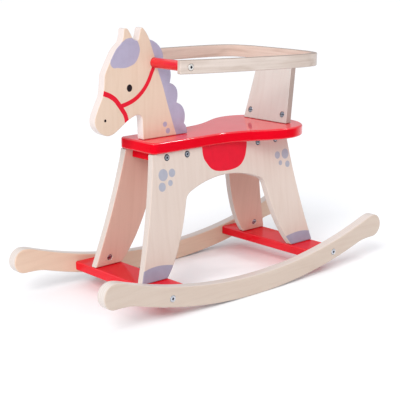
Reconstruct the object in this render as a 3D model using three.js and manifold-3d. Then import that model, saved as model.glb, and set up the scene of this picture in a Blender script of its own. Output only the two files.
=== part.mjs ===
// A wooden rocking horse for a toddler: two curved rockers, two red foot boards, a splayed body,
// a red seat, a cut-out head with a handle bar, a bent arm rail and a back panel.
// Millimetres. +X points to the nose, +Y to the horse's left, +Z up. The floor is z = 0.

import * as THREE from 'three';
import { mergeVertices } from 'three/addons/utils/BufferGeometryUtils.js';
import Module from 'manifold-3d';

const wasm = await Module();
wasm.setup();

// Driving dimensions
const FIT_GAP = 0.3;               // between pieces that meet
const ROCKER_THICKNESS = 18;
const ROCKER_RADIUS = 850;         // underside of the rocker
const ROCKER_DEPTH = 33;
const ROCKER_FLAT = 16;            // half length of the flat at the rest point
const ROCKER_BEND_X = 250;         // where the underside leaves its arc
const ROCKER_TOP_X = 262;          // where the top leaves its arc
const TOE_X = 290.5;               // centre of the rounded rocker end
const TOE_Z = 61.5;
const TOE_RADIUS = 20;
const TOE_UNDER_CURVE = [12, 3.6, 14];  // X and Z past the arc, then X short of the end
const TOE_TOP_CURVE = [9, 2.9, 9];

const BOARD_LENGTH = 213;          // foot board, across the horse
const BOARD_INNER_X = 138;
const BOARD_OUTER_X = 194;
const BOARD_THICKNESS = 15;
const BOARD_TOP_Z = 41.5;
const BOARD_EASE = 2.5;            // rounding of the long edges

const PANEL_THICKNESS = 12;
const PANEL_TOP_Z = 234.6;
const PANEL_TOP_Y = 39.3;          // outer face at the top
const PANEL_SPLAY = THREE.MathUtils.degToRad(7.6);
const PANEL_TOP_X = 149;
const LEG_OUTER_X = 194;           // at the bottom of the leg
const LEG_INNER_X = 142;
const LEG_OUTER_CURVE = [163, 140];     // X and Z that the leg's edges bend towards
const LEG_INNER_CURVE = [109, 77];
const LEG_OVERRUN = 4;             // the blank's spare height, trimmed off level
const ARCH_CORNER_X = 87;
const ARCH_CORNER_Z = 164;
const ARCH_TOP_Z = 184.5;
const ARCH_ROUND = 9;              // rounding of the arch's corners

const CROSS_RAIL_THICKNESS = 14;
const CROSS_RAIL_WIDTH = 70;
const CROSS_RAIL_X = 100;          // centre of each seat cross rail

const SEAT_THICKNESS = 18;
const SEAT_BOTTOM_Z = PANEL_TOP_Z + FIT_GAP;
const SEAT_TOP_Z = SEAT_BOTTOM_Z + SEAT_THICKNESS;
const SEAT_FRONT_X = 150;
const SEAT_REAR_X = -182;
const SEAT_FRONT_HALF = 43.5;
const SEAT_REAR_HALF = 83;
const SEAT_EDGE = 3;
const SEAT_CORNER = 10;            // radius of the front corners
const SEAT_WAIST_X = 20;           // where the narrow front part ends
const SEAT_FLARE_X = [-50, -70];
const SEAT_WIDE_X = -115;
const SEAT_REAR_CURVE = [-157, 53];

const HEAD_THICKNESS = 15;
const HEAD_BOTTOM_Z = SEAT_TOP_Z + FIT_GAP;

const HANDLE_X = 117.5;
const HANDLE_Z = 371;
const HANDLE_DIAMETER = 16;

const ARM_THICKNESS = 10;
const ARM_HEIGHT = 20.7;
const ARM_PITCH = 0.02;            // the arm rail drops this much per millimetre to the rear
const ARM_FRONT_X = 135;
const ARM_FRONT_HALF = 87.4;
const ARM_WIDE_X = -96.5;
const ARM_WIDE_HALF = 114;
const ARM_REAR_X = -172.5;
const ARM_SIDE_CURVE = [[80, 103], [-36, 114]];
const ARM_REAR_CURVE = [[-161, 114], [-172.5, 98]];

const BACK_THICKNESS = 12;
const BACK_BOTTOM_X = -135;        // front face at the seat
const BACK_LEAN = Math.atan(0.225);
const BACK_BOTTOM_HALF = 51;
const BACK_TOP_HALF = 39.5;
const BACK_HEIGHT = 110;           // along the lean, trimmed under the arm rail
const BACK_OVERRUN = 10;           // the blank's spare length below the seat, trimmed off

const SHANK_DIAMETER = 6;
const SCREW_HEAD_DIAMETER = 10;
const SCREW_HEAD_HEIGHT = 3;
const SOCKET_DIAMETER = 4;
const SOCKET_DEPTH = 2;
const HEAD_PROUD = 0.3;            // how far a screw head stands above the wood
const HOLE_CLEARANCE = 0.8;        // a hole's diameter over that of what it holds
const NUT_DIAMETER = 9.4;
const NUT_LENGTH = 9.5;
const NUT_SINK = 0.5;              // from the wood's face down to a barrel nut
const BOLT_PAST_NUT = 3;           // how far a bolt reaches past its barrel nut
const PIN_DIAMETER = 8;
const BEYOND = 300;                // further from the middle than any cut needs to reach

const ROUND_SIDES = 10;            // facets round a fastener
const BAR_SIDES = 20;              // facets round the handle bar

// Finishes
const BEECH = new THREE.MeshStandardMaterial({ color: 0xe3cfb9, roughness: 0.55, metalness: 0 });
const BENT_BEECH = new THREE.MeshStandardMaterial({ color: 0xdcc6b4, roughness: 0.5, metalness: 0 });
const RED_PAINT = new THREE.MeshStandardMaterial({ color: 0xe01828, roughness: 0.2, metalness: 0 });
const STEEL = new THREE.MeshStandardMaterial({ color: 0x9a9ca2, roughness: 0.3, metalness: 1 });
const PIN_WOOD = new THREE.MeshStandardMaterial({ color: 0xd8bf96, roughness: 0.7, metalness: 0 });

const horse = new THREE.Group();
horse.name = 'rocking_horse';

// Turns a closed geometry into a solid that can be cut and joined.
function solid(geometry) {
  const bare = geometry.clone();
  bare.deleteAttribute('normal');
  bare.deleteAttribute('uv');
  const merged = mergeVertices(bare, 1e-4);
  return new wasm.Manifold(new wasm.Mesh({
    numProp: 3,
    vertProperties: new Float32Array(merged.attributes.position.array),
    triVerts: new Uint32Array(merged.index.array),
  }));
}

// Turns a solid back into a geometry.
function geometryOf(body) {
  const mesh = body.getMesh();
  const geometry = new THREE.BufferGeometry();
  geometry.setAttribute('position', new THREE.BufferAttribute(mesh.vertProperties, 3));
  geometry.setIndex(new THREE.BufferAttribute(mesh.triVerts, 1));
  geometry.computeVertexNormals();
  return geometry;
}

function cut(body, tools) {
  return tools.reduce((rest, tool) => rest.subtract(solid(tool)), body);
}

function add(name, geometry, material) {
  const mesh = new THREE.Mesh(geometry, material);
  mesh.name = name;
  horse.add(mesh);
  return mesh;
}

// A box between two corners.
function block(low, high) {
  const size = new THREE.Vector3().subVectors(high, low);
  const geometry = new THREE.BoxGeometry(size.x, size.y, size.z);
  geometry.translate((low.x + high.x) / 2, (low.y + high.y) / 2, (low.z + high.z) / 2);
  return geometry;
}

// A cylinder from one point to another.
function rod(from, to, diameter, sides = ROUND_SIDES) {
  const axis = new THREE.Vector3().subVectors(to, from);
  const geometry = new THREE.CylinderGeometry(diameter / 2, diameter / 2, axis.length(), sides);
  geometry.translate(0, axis.length() / 2, 0);
  return along(geometry, from, axis);
}

// Turns a geometry that stands on the Y axis so that it starts at a point and runs along an axis.
function along(geometry, from, axis) {
  const turn = new THREE.Quaternion().setFromUnitVectors(
    new THREE.Vector3(0, 1, 0), axis.clone().normalize());
  geometry.applyQuaternion(turn);
  geometry.translate(from.x, from.y, from.z);
  return geometry;
}

// An outline in X and Z, extruded along Y from y = low to y = high.
function upright(shape, low, high, curveSegments = 12) {
  const geometry = new THREE.ExtrudeGeometry(shape, {
    depth: high - low, bevelEnabled: false, curveSegments,
  });
  geometry.rotateX(Math.PI / 2);
  geometry.translate(0, high, 0);
  return geometry;
}

// A socket screw: its head's outer face is at the first point and its tip at the second.
function screw(from, to) {
  const length = from.distanceTo(to);
  const profile = [
    [0, length], [SHANK_DIAMETER / 2, length], [SHANK_DIAMETER / 2, SCREW_HEAD_HEIGHT],
    [SCREW_HEAD_DIAMETER / 2, SCREW_HEAD_HEIGHT], [SCREW_HEAD_DIAMETER / 2, 0],
    [SOCKET_DIAMETER / 2, 0], [SOCKET_DIAMETER / 2, SOCKET_DEPTH], [0, SOCKET_DEPTH],
  ].map(([x, y]) => new THREE.Vector2(x, y)).reverse();
  const geometry = new THREE.LatheGeometry(profile, ROUND_SIDES);
  return along(geometry, from, new THREE.Vector3().subVectors(to, from));
}

// The hole that a screw needs: a clear hole for the shank and a recess for the head.
function screwHoles(from, to) {
  const axis = new THREE.Vector3().subVectors(to, from).normalize();
  const outside = from.clone().addScaledVector(axis, -SCREW_HEAD_HEIGHT);
  const seat = from.clone().addScaledVector(axis, SCREW_HEAD_HEIGHT + FIT_GAP);
  const tip = to.clone().addScaledVector(axis, FIT_GAP);
  return [
    rod(outside, seat, SCREW_HEAD_DIAMETER + HOLE_CLEARANCE),
    rod(seat.clone().addScaledVector(axis, -1), tip, SHANK_DIAMETER + HOLE_CLEARANCE),
  ];
}

// A barrel nut with its cross hole, and the pocket it lies in, open at the first point.
function barrelNut(open, inward, boltAxis) {
  const end = open.clone().addScaledVector(inward, NUT_LENGTH);
  const centre = open.clone().addScaledVector(inward, NUT_LENGTH / 2);
  const hole = rod(
    centre.clone().addScaledVector(boltAxis, -NUT_DIAMETER),
    centre.clone().addScaledVector(boltAxis, NUT_DIAMETER),
    SHANK_DIAMETER + HOLE_CLEARANCE);
  return geometryOf(cut(solid(rod(open, end, NUT_DIAMETER)), [hole]));
}

function nutPocket(open, inward) {
  return rod(
    open.clone().addScaledVector(inward, -NUT_LENGTH),
    open.clone().addScaledVector(inward, NUT_LENGTH + FIT_GAP),
    NUT_DIAMETER + HOLE_CLEARANCE);
}

const point = (x, y, z) => new THREE.Vector3(x, y, z);
const FRONT_AND_REAR = [['front', 1], ['rear', -1]];
const LEFT_AND_RIGHT = [['left', 1], ['right', -1]];

// Rockers and foot boards

const rockerInnerY = BOARD_LENGTH / 2 + FIT_GAP;
const rockerOuterY = rockerInnerY + ROCKER_THICKNESS;
const boardMiddleZ = BOARD_TOP_Z - BOARD_THICKNESS / 2;
const ROCKER_BOLT_X = 183;
const ROCKER_PIN_X = 151;
const ROCKER_BOLT_LENGTH = 60;
const ROCKER_NUT_INSET = 28;       // from the end of the foot board
const ROCKER_PIN_IN_BOARD = 20;
const ROCKER_PIN_IN_ROCKER = 12;
const arcHeight = (x) => ROCKER_RADIUS - Math.sqrt(ROCKER_RADIUS ** 2 - x ** 2);

function rockerShape() {
  const shape = new THREE.Shape();
  const turn = Math.asin(ROCKER_BEND_X / ROCKER_RADIUS);
  const flatTurn = Math.asin(ROCKER_FLAT / ROCKER_RADIUS);
  const topTurn = Math.asin(ROCKER_TOP_X / ROCKER_RADIUS);
  const down = -Math.PI / 2;
  const bendZ = arcHeight(ROCKER_BEND_X);
  const topZ = arcHeight(ROCKER_TOP_X) + ROCKER_DEPTH;
  const toeBottom = TOE_Z - TOE_RADIUS;
  const toeTop = TOE_Z + TOE_RADIUS;
  const arcFrom = (centreZ, start, end, clockwise) =>
    shape.absarc(0, centreZ, ROCKER_RADIUS, start, end, clockwise);
  shape.moveTo(-ROCKER_FLAT, arcHeight(ROCKER_FLAT));
  shape.lineTo(ROCKER_FLAT, arcHeight(ROCKER_FLAT));
  arcFrom(ROCKER_RADIUS, down + flatTurn, down + turn, false);
  const [underX, underZ, underEndX] = TOE_UNDER_CURVE;
  const [overX, overZ, overEndX] = TOE_TOP_CURVE;
  shape.bezierCurveTo(ROCKER_BEND_X + underX, bendZ + underZ, TOE_X - underEndX, toeBottom,
    TOE_X, toeBottom);
  shape.absarc(TOE_X, TOE_Z, TOE_RADIUS, -Math.PI / 2, Math.PI / 2, false);
  shape.bezierCurveTo(TOE_X - overEndX, toeTop, ROCKER_TOP_X + overX, topZ + overZ,
    ROCKER_TOP_X, topZ);
  arcFrom(ROCKER_RADIUS + ROCKER_DEPTH, down + topTurn, down - topTurn, true);
  shape.bezierCurveTo(-ROCKER_TOP_X - overX, topZ + overZ, -TOE_X + overEndX, toeTop,
    -TOE_X, toeTop);
  shape.absarc(-TOE_X, TOE_Z, TOE_RADIUS, Math.PI / 2, 1.5 * Math.PI, false);
  shape.bezierCurveTo(-TOE_X + underEndX, toeBottom, -ROCKER_BEND_X - underX, bendZ + underZ,
    -ROCKER_BEND_X, bendZ);
  arcFrom(ROCKER_RADIUS, down - turn, down - flatTurn, false);
  return shape;
}

function rockerBolt(end, side) {
  const headY = rockerOuterY + HEAD_PROUD;
  return [
    point(end * ROCKER_BOLT_X, side * headY, boardMiddleZ),
    point(end * ROCKER_BOLT_X, side * (headY - ROCKER_BOLT_LENGTH), boardMiddleZ),
  ];
}

function rockerPin(end, side, gap = 0) {
  const inside = BOARD_LENGTH / 2 - ROCKER_PIN_IN_BOARD - gap;
  const outside = rockerInnerY + ROCKER_PIN_IN_ROCKER + gap;
  return rod(
    point(end * ROCKER_PIN_X, side * inside, boardMiddleZ),
    point(end * ROCKER_PIN_X, side * outside, boardMiddleZ),
    PIN_DIAMETER + (gap ? HOLE_CLEARANCE : 0));
}

for (const [side, s] of LEFT_AND_RIGHT) {
  const low = Math.min(s * rockerInnerY, s * rockerOuterY);
  const bare = upright(rockerShape(), low, low + ROCKER_THICKNESS, 12);
  bare.translate(0, 0, -arcHeight(ROCKER_FLAT));
  const holes = FRONT_AND_REAR.flatMap(([, e]) => [
    ...screwHoles(...rockerBolt(e, s)), rockerPin(e, s, FIT_GAP)]);
  add(`rocker_${side}`, geometryOf(cut(solid(bare), holes)), BEECH);
}

// The side panels lean outwards, so their bolts and nuts follow the same lean.

const panelDown = (s) => point(0, s * Math.sin(PANEL_SPLAY), -Math.cos(PANEL_SPLAY));
const panelOut = (s) => point(0, s * Math.cos(PANEL_SPLAY), Math.sin(PANEL_SPLAY));
const panelOuterY = (z) => PANEL_TOP_Y + Math.tan(PANEL_SPLAY) * (PANEL_TOP_Z - z);
const LEG_BOLT_X = 166;
const LEG_NUT_Z = 57;
const LEG_BOLT_RISE = 1.2;         // so that the leaning head's low edge stays by the wood

// The middle of a leg's barrel nut, inside the panel's thickness.
function legNutOpening(end, side) {
  const outer = point(end * LEG_BOLT_X, side * panelOuterY(LEG_NUT_Z), LEG_NUT_Z);
  return outer.addScaledVector(panelOut(side), -PANEL_THICKNESS + NUT_SINK);
}

function legBolt(end, side) {
  const middle = legNutOpening(end, side).addScaledVector(panelOut(side), NUT_LENGTH / 2);
  const down = panelDown(side);
  const underside = BOARD_TOP_Z - BOARD_THICKNESS - HEAD_PROUD;
  const reach = (middle.z - underside) / Math.cos(PANEL_SPLAY) - LEG_BOLT_RISE;
  return [
    middle.clone().addScaledVector(down, reach),
    middle.clone().addScaledVector(down, -NUT_DIAMETER / 2 - BOLT_PAST_NUT),
  ];
}

for (const [end, e] of FRONT_AND_REAR) {
  const edge = new THREE.Shape();
  const low = boardMiddleZ - BOARD_THICKNESS / 2;
  const near = Math.min(e * BOARD_INNER_X, e * BOARD_OUTER_X);
  const far = Math.max(e * BOARD_INNER_X, e * BOARD_OUTER_X);
  const ease = BOARD_EASE;
  edge.moveTo(near + ease, low);
  edge.lineTo(far - ease, low);
  edge.quadraticCurveTo(far, low, far, low + ease);
  edge.lineTo(far, BOARD_TOP_Z - ease);
  edge.quadraticCurveTo(far, BOARD_TOP_Z, far - ease, BOARD_TOP_Z);
  edge.lineTo(near + ease, BOARD_TOP_Z);
  edge.quadraticCurveTo(near, BOARD_TOP_Z, near, BOARD_TOP_Z - ease);
  edge.lineTo(near, low + ease);
  edge.quadraticCurveTo(near, low, near + ease, low);
  const bare = upright(edge, -BOARD_LENGTH / 2, BOARD_LENGTH / 2, 3);
  const holes = LEFT_AND_RIGHT.flatMap(([, s]) => {
    const nutY = s * (BOARD_LENGTH / 2 - ROCKER_NUT_INSET);
    const open = point(e * ROCKER_BOLT_X, nutY, boardMiddleZ - NUT_LENGTH / 2);
    return [
      ...screwHoles(...rockerBolt(e, s)), rockerPin(e, s, FIT_GAP),
      nutPocket(open, point(0, 0, 1)), ...screwHoles(...legBolt(e, s))];
  });
  add(`${end}_foot_board`, geometryOf(cut(solid(bare), holes)), RED_PAINT);
}

// Side panels: one board with two legs and an arch between them

const heightInPanel = (z) => (z - PANEL_TOP_Z) / Math.cos(PANEL_SPLAY);

function panelShape() {
  const shape = new THREE.Shape();
  const top = heightInPanel(PANEL_TOP_Z + LEG_OVERRUN);
  const foot = heightInPanel(BOARD_TOP_Z - LEG_OVERRUN);
  const legBottom = heightInPanel(BOARD_TOP_Z);
  const panelTop = heightInPanel(PANEL_TOP_Z);
  const archCorner = heightInPanel(ARCH_CORNER_Z);
  const archTop = heightInPanel(ARCH_TOP_Z);
  const rise = archTop - archCorner;
  const archRadius = (ARCH_CORNER_X ** 2 + rise ** 2) / (2 * rise);
  const archTurn = Math.asin((ARCH_CORNER_X - ARCH_ROUND) / archRadius);
  const [outerX, outerZ] = [LEG_OUTER_CURVE[0], heightInPanel(LEG_OUTER_CURVE[1])];
  const [innerX, innerZ] = [LEG_INNER_CURVE[0], heightInPanel(LEG_INNER_CURVE[1])];
  const archSideX = ARCH_CORNER_X + 2;
  const archSideZ = archCorner - ARCH_ROUND;
  shape.moveTo(-PANEL_TOP_X, top);
  shape.lineTo(-PANEL_TOP_X, panelTop);
  shape.quadraticCurveTo(-outerX, outerZ, -LEG_OUTER_X, legBottom);
  shape.lineTo(-LEG_OUTER_X, foot);
  shape.lineTo(-LEG_INNER_X, foot);
  shape.lineTo(-LEG_INNER_X, legBottom);
  shape.quadraticCurveTo(-innerX, innerZ, -archSideX, archSideZ);
  shape.quadraticCurveTo(
    -ARCH_CORNER_X, archCorner,
    -archRadius * Math.sin(archTurn), archTop - archRadius * (1 - Math.cos(archTurn)));
  shape.absarc(0, archTop - archRadius, archRadius, Math.PI / 2 + archTurn,
    Math.PI / 2 - archTurn, true);
  shape.quadraticCurveTo(ARCH_CORNER_X, archCorner, archSideX, archSideZ);
  shape.quadraticCurveTo(innerX, innerZ, LEG_INNER_X, legBottom);
  shape.lineTo(LEG_INNER_X, foot);
  shape.lineTo(LEG_OUTER_X, foot);
  shape.lineTo(LEG_OUTER_X, legBottom);
  shape.quadraticCurveTo(outerX, outerZ, PANEL_TOP_X, panelTop);
  shape.lineTo(PANEL_TOP_X, top);
  return shape;
}

const CROSS_RAIL_TOP_Z = SEAT_BOTTOM_Z - FIT_GAP;
const crossRailMiddleZ = CROSS_RAIL_TOP_Z - CROSS_RAIL_THICKNESS / 2;
const PANEL_SCREW_SPREAD = 21;     // each side of the cross rail's middle
const PANEL_SCREW_LENGTH = 32;

function panelScrew(x, side) {
  const head = point(x, side * panelOuterY(crossRailMiddleZ), crossRailMiddleZ);
  head.addScaledVector(panelOut(side), HEAD_PROUD);
  return [head, head.clone().addScaledVector(panelOut(side), -PANEL_SCREW_LENGTH)];
}

const panelScrewXs = FRONT_AND_REAR.flatMap(([end, e]) => [
  [`${end}_outer`, e * (CROSS_RAIL_X + PANEL_SCREW_SPREAD)],
  [`${end}_inner`, e * (CROSS_RAIL_X - PANEL_SCREW_SPREAD)]]);

for (const [side, s] of LEFT_AND_RIGHT) {
  const low = s > 0 ? -PANEL_THICKNESS : 0;
  const bare = upright(panelShape(), low, low + PANEL_THICKNESS, 8);
  bare.rotateX(s * PANEL_SPLAY);
  bare.translate(0, s * PANEL_TOP_Y, PANEL_TOP_Z);
  const between = block(
    point(-BEYOND, -BEYOND, BOARD_TOP_Z + FIT_GAP), point(BEYOND, BEYOND, PANEL_TOP_Z));
  const holes = [
    ...panelScrewXs.flatMap(([, x]) => screwHoles(...panelScrew(x, s))),
    ...FRONT_AND_REAR.flatMap(([, e]) => [
      nutPocket(legNutOpening(e, s), panelOut(s)), ...screwHoles(...legBolt(e, s))]),
  ];
  const trimmed = solid(bare).intersect(solid(between));
  add(`side_panel_${side}`, geometryOf(cut(trimmed, holes)), BEECH);
}

// Seat cross rails, between the panels and under the seat

const SEAT_SCREW_Y = 17;
const SEAT_SCREW_LENGTH = 27;

function seatScrew(x, y) {
  const head = point(x, y, CROSS_RAIL_TOP_Z - CROSS_RAIL_THICKNESS - HEAD_PROUD);
  return [head, point(x, y, head.z + SEAT_SCREW_LENGTH)];
}

const seatScrews = FRONT_AND_REAR.flatMap(([end, e]) => LEFT_AND_RIGHT.map(([side, s]) => [
  `${end}_${side}`, seatScrew(e * CROSS_RAIL_X, s * SEAT_SCREW_Y)]));

for (const [end, e] of FRONT_AND_REAR) {
  const section = new THREE.Shape();
  const innerTop = PANEL_TOP_Y - PANEL_THICKNESS / Math.cos(PANEL_SPLAY) - FIT_GAP;
  const spread = Math.tan(PANEL_SPLAY) * CROSS_RAIL_THICKNESS;
  section.moveTo(-innerTop, CROSS_RAIL_TOP_Z);
  section.lineTo(-innerTop - spread, CROSS_RAIL_TOP_Z - CROSS_RAIL_THICKNESS);
  section.lineTo(innerTop + spread, CROSS_RAIL_TOP_Z - CROSS_RAIL_THICKNESS);
  section.lineTo(innerTop, CROSS_RAIL_TOP_Z);
  const bare = upright(section, -CROSS_RAIL_WIDTH / 2, CROSS_RAIL_WIDTH / 2);
  bare.rotateZ(Math.PI / 2);
  bare.translate(e * CROSS_RAIL_X, 0, 0);
  const holes = [
    ...panelScrewXs.flatMap(([, x]) => LEFT_AND_RIGHT.flatMap(
      ([, s]) => screwHoles(...panelScrew(x, s)))),
    ...seatScrews.flatMap(([, ends]) => screwHoles(...ends)),
  ];
  add(`${end}_seat_cross_rail`, geometryOf(cut(solid(bare), holes)), RED_PAINT);
}

// Head, back panel and seat. Their bolts are sunk in the underside of the seat.

const HEAD_BOLT_XS = [['rear', 74], ['front', 118]];
const HEAD_NUT_RISE = 18;          // above the seat
const HEAD_NUT_Z = HEAD_BOTTOM_Z + HEAD_NUT_RISE;
const SEAT_BOLT_PROUD = 0.1;       // below the underside of the seat
const BACK_BOLT_Y = 38;
const BACK_NUT_RISE = 15;          // along the lean, above the seat
const BACK_BOLT_RISE = 1;          // so that the leaning head's low edge stays by the wood

function headBolt(x) {
  const tipZ = HEAD_NUT_Z + NUT_DIAMETER / 2 + BOLT_PAST_NUT;
  return [point(x, 0, SEAT_BOTTOM_Z - SEAT_BOLT_PROUD), point(x, 0, tipZ)];
}

const headNutOpening = (x) => point(x, -NUT_LENGTH / 2, HEAD_NUT_Z);

const backUp = point(-Math.sin(BACK_LEAN), 0, Math.cos(BACK_LEAN));
const backFront = point(Math.cos(BACK_LEAN), 0, Math.sin(BACK_LEAN));
const backFoot = point(BACK_BOTTOM_X, 0, SEAT_TOP_Z);

const backNutOpening = (side) => backFoot.clone()
  .addScaledVector(backUp, BACK_NUT_RISE)
  .addScaledVector(backFront, -NUT_SINK)
  .add(point(0, side * BACK_BOLT_Y, 0));

function backBolt(side) {
  const middle = backNutOpening(side).addScaledVector(backFront, -NUT_LENGTH / 2);
  const drop = (middle.z - SEAT_BOTTOM_Z) / Math.cos(BACK_LEAN) - BACK_BOLT_RISE;
  return [
    middle.clone().addScaledVector(backUp, -drop),
    middle.clone().addScaledVector(backUp, NUT_DIAMETER / 2 + BOLT_PAST_NUT),
  ];
}

function seatShape() {
  const shape = new THREE.Shape();
  const cornerX = SEAT_FRONT_X - SEAT_CORNER;
  const cornerY = SEAT_FRONT_HALF - SEAT_CORNER;
  const [flareStart, flareEnd] = SEAT_FLARE_X;
  const [rearX, rearY] = SEAT_REAR_CURVE;
  shape.moveTo(SEAT_FRONT_X, -cornerY);
  shape.lineTo(SEAT_FRONT_X, cornerY);
  shape.absarc(cornerX, cornerY, SEAT_CORNER, 0, Math.PI / 2, false);
  shape.lineTo(SEAT_WAIST_X, SEAT_FRONT_HALF);
  shape.bezierCurveTo(
    flareStart, SEAT_FRONT_HALF, flareEnd, SEAT_REAR_HALF, SEAT_WIDE_X, SEAT_REAR_HALF);
  shape.bezierCurveTo(rearX, SEAT_REAR_HALF, SEAT_REAR_X, rearY, SEAT_REAR_X, 0);
  shape.bezierCurveTo(SEAT_REAR_X, -rearY, rearX, -SEAT_REAR_HALF, SEAT_WIDE_X, -SEAT_REAR_HALF);
  shape.bezierCurveTo(
    flareEnd, -SEAT_REAR_HALF, flareStart, -SEAT_FRONT_HALF, SEAT_WAIST_X, -SEAT_FRONT_HALF);
  shape.lineTo(cornerX, -SEAT_FRONT_HALF);
  shape.absarc(cornerX, -cornerY, SEAT_CORNER, -Math.PI / 2, 0, false);
  return shape;
}

const seatBlank = new THREE.ExtrudeGeometry(seatShape(), {
  depth: SEAT_THICKNESS - 2 * SEAT_EDGE,
  bevelThickness: SEAT_EDGE,
  bevelSize: SEAT_EDGE,
  bevelOffset: -SEAT_EDGE,
  bevelSegments: 2,
  curveSegments: 7,
});
seatBlank.translate(0, 0, SEAT_BOTTOM_Z + SEAT_EDGE);
const seatHoles = [
  ...HEAD_BOLT_XS.flatMap(([, x]) => screwHoles(...headBolt(x))),
  ...LEFT_AND_RIGHT.flatMap(([, s]) => screwHoles(...backBolt(s))),
  ...seatScrews.flatMap(([, ends]) => screwHoles(...ends)),
];
add('seat', geometryOf(cut(solid(seatBlank), seatHoles)), RED_PAINT);

// The head's outline, X and Z, from the throat round the nose, up the forehead and over the
// ears. The mane's scallops run from one cusp to the next, each bulging backwards.
const THROAT = [[141, HEAD_BOTTOM_Z], [142, 283], [142, 291], [148, 295], [157, 292.5]];
const JAW_AND_NOSE = [[171, 286], [186, 276], [199, 268.5], [211, 267.2], [224, 273.5],
  [232, 284], [232.5, 296], [225, 313], [217.5, 328], [214.6, 344], [213.5, 358]];
const FOREHEAD = [[209, 367.5], [200, 383], [191, 396], [181, 405], [177, 414], [176, 423]];
const NEAR_EAR = [[175.5, 426], [172, 426], [168.5, 426], [166, 422]];
const BETWEEN_EARS = [[158.5, 410], [153, 405.5], [148, 408]];
const REAR_EAR = [[144.5, 422], [143, 426], [140, 425.8], [133, 420]];
const MANE_CUSPS = [[126, 407], [100, 371], [86, 337], [72, 305], [56.5, 270], [50, 253]];
const MANE_BULGE = 13;

function headShape() {
  const shape = new THREE.Shape();
  const spline = (points) => shape.splineThru(points.map(([x, z]) => new THREE.Vector2(x, z)));
  shape.moveTo(...THROAT[0]);
  shape.lineTo(...THROAT[1]);
  shape.bezierCurveTo(...THROAT[2], ...THROAT[3], ...THROAT[4]);
  spline(JAW_AND_NOSE);
  spline(FOREHEAD);
  shape.quadraticCurveTo(...NEAR_EAR[0], ...NEAR_EAR[1]);
  shape.quadraticCurveTo(...NEAR_EAR[2], ...NEAR_EAR[3]);
  shape.lineTo(...BETWEEN_EARS[0]);
  shape.quadraticCurveTo(...BETWEEN_EARS[1], ...BETWEEN_EARS[2]);
  shape.lineTo(...REAR_EAR[0]);
  shape.quadraticCurveTo(...REAR_EAR[1], ...REAR_EAR[2]);
  shape.quadraticCurveTo(...REAR_EAR[3], ...MANE_CUSPS[0]);
  for (let i = 1; i < MANE_CUSPS.length; i += 1) {
    const [fromX, fromZ] = MANE_CUSPS[i - 1];
    const [toX, toZ] = MANE_CUSPS[i];
    const last = i === MANE_CUSPS.length - 1;
    const bulge = last ? MANE_BULGE / 4 : MANE_BULGE;
    const bottom = last ? HEAD_BOTTOM_Z : toZ;
    shape.bezierCurveTo(
      fromX - bulge * 1.1, fromZ - bulge * 0.25, toX - bulge * 0.45, toZ + bulge * 1.3, toX, bottom);
  }
  return shape;
}

const headNuts = HEAD_BOLT_XS.map(([, x]) => nutPocket(headNutOpening(x), point(0, 1, 0)));
const handleHole = rod(
  point(HANDLE_X, -HEAD_THICKNESS, HANDLE_Z), point(HANDLE_X, HEAD_THICKNESS, HANDLE_Z),
  HANDLE_DIAMETER + 2 * FIT_GAP, BAR_SIDES);
const headBlank = solid(upright(headShape(), -HEAD_THICKNESS / 2, HEAD_THICKNESS / 2, 4));
const headHoles = [
  handleHole, ...headNuts, ...HEAD_BOLT_XS.flatMap(([, x]) => screwHoles(...headBolt(x)))];
add('head', geometryOf(cut(headBlank, headHoles)), BEECH);

// Arm rail: a bent strip round the seat, a little lower at the rear

function armOuterEdge() {
  const side = new THREE.CubicBezierCurve(
    new THREE.Vector2(ARM_FRONT_X, ARM_FRONT_HALF), new THREE.Vector2(...ARM_SIDE_CURVE[0]),
    new THREE.Vector2(...ARM_SIDE_CURVE[1]), new THREE.Vector2(ARM_WIDE_X, ARM_WIDE_HALF));
  const corner = new THREE.CubicBezierCurve(
    new THREE.Vector2(ARM_WIDE_X, ARM_WIDE_HALF), new THREE.Vector2(...ARM_REAR_CURVE[0]),
    new THREE.Vector2(...ARM_REAR_CURVE[1]), new THREE.Vector2(ARM_REAR_X, 0));
  const half = [...side.getPoints(10), ...corner.getPoints(14).slice(1)];
  const other = half.slice(0, -1).reverse().map((p) => new THREE.Vector2(p.x, -p.y));
  return [...half, ...other];
}

// The same line moved inwards by a distance.
function inset(line, distance) {
  return line.map((p, i) => {
    const before = line[Math.max(i - 1, 0)];
    const after = line[Math.min(i + 1, line.length - 1)];
    const run = new THREE.Vector2().subVectors(after, before).normalize();
    return new THREE.Vector2(p.x - run.y * distance, p.y + run.x * distance);
  });
}

function pitched(geometry) {
  geometry.translate(-HANDLE_X, 0, 0);
  geometry.rotateY(-Math.atan(ARM_PITCH));
  geometry.translate(HANDLE_X, 0, HANDLE_Z);
  return geometry;
}

function flatSlab(outline, low, high) {
  const geometry = new THREE.ExtrudeGeometry(new THREE.Shape(outline), {
    depth: high - low, bevelEnabled: false,
  });
  geometry.translate(0, 0, low);
  return geometry;
}

const armOuter = armOuterEdge();
const armInner = inset(armOuter, ARM_THICKNESS);
const armOutline = [...armOuter, ...armInner.slice().reverse()];
const ARM_BOLT_LENGTH = 45;
const ARM_BOLT_PROUD = 0.8;        // the rail slopes across the head of the bolt
const armBolt = (side) => {
  const outside = armOuter.filter((p) => p.y * side > 0).reduce(
    (best, p) => (Math.abs(p.x - HANDLE_X) < Math.abs(best.x - HANDLE_X) ? p : best));
  const headY = side * (Math.abs(outside.y) + ARM_BOLT_PROUD);
  return [
    point(HANDLE_X, headY, HANDLE_Z), point(HANDLE_X, headY - side * ARM_BOLT_LENGTH, HANDLE_Z)];
};

const ARM_PIN_Y = 22;
const ARM_PIN_REACH = 12;          // into the arm rail and into the back panel
const ARM_PIN_INSET = 6.5;         // from the rail's outer face
const ARM_PIN_DIAMETER = 6;

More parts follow.
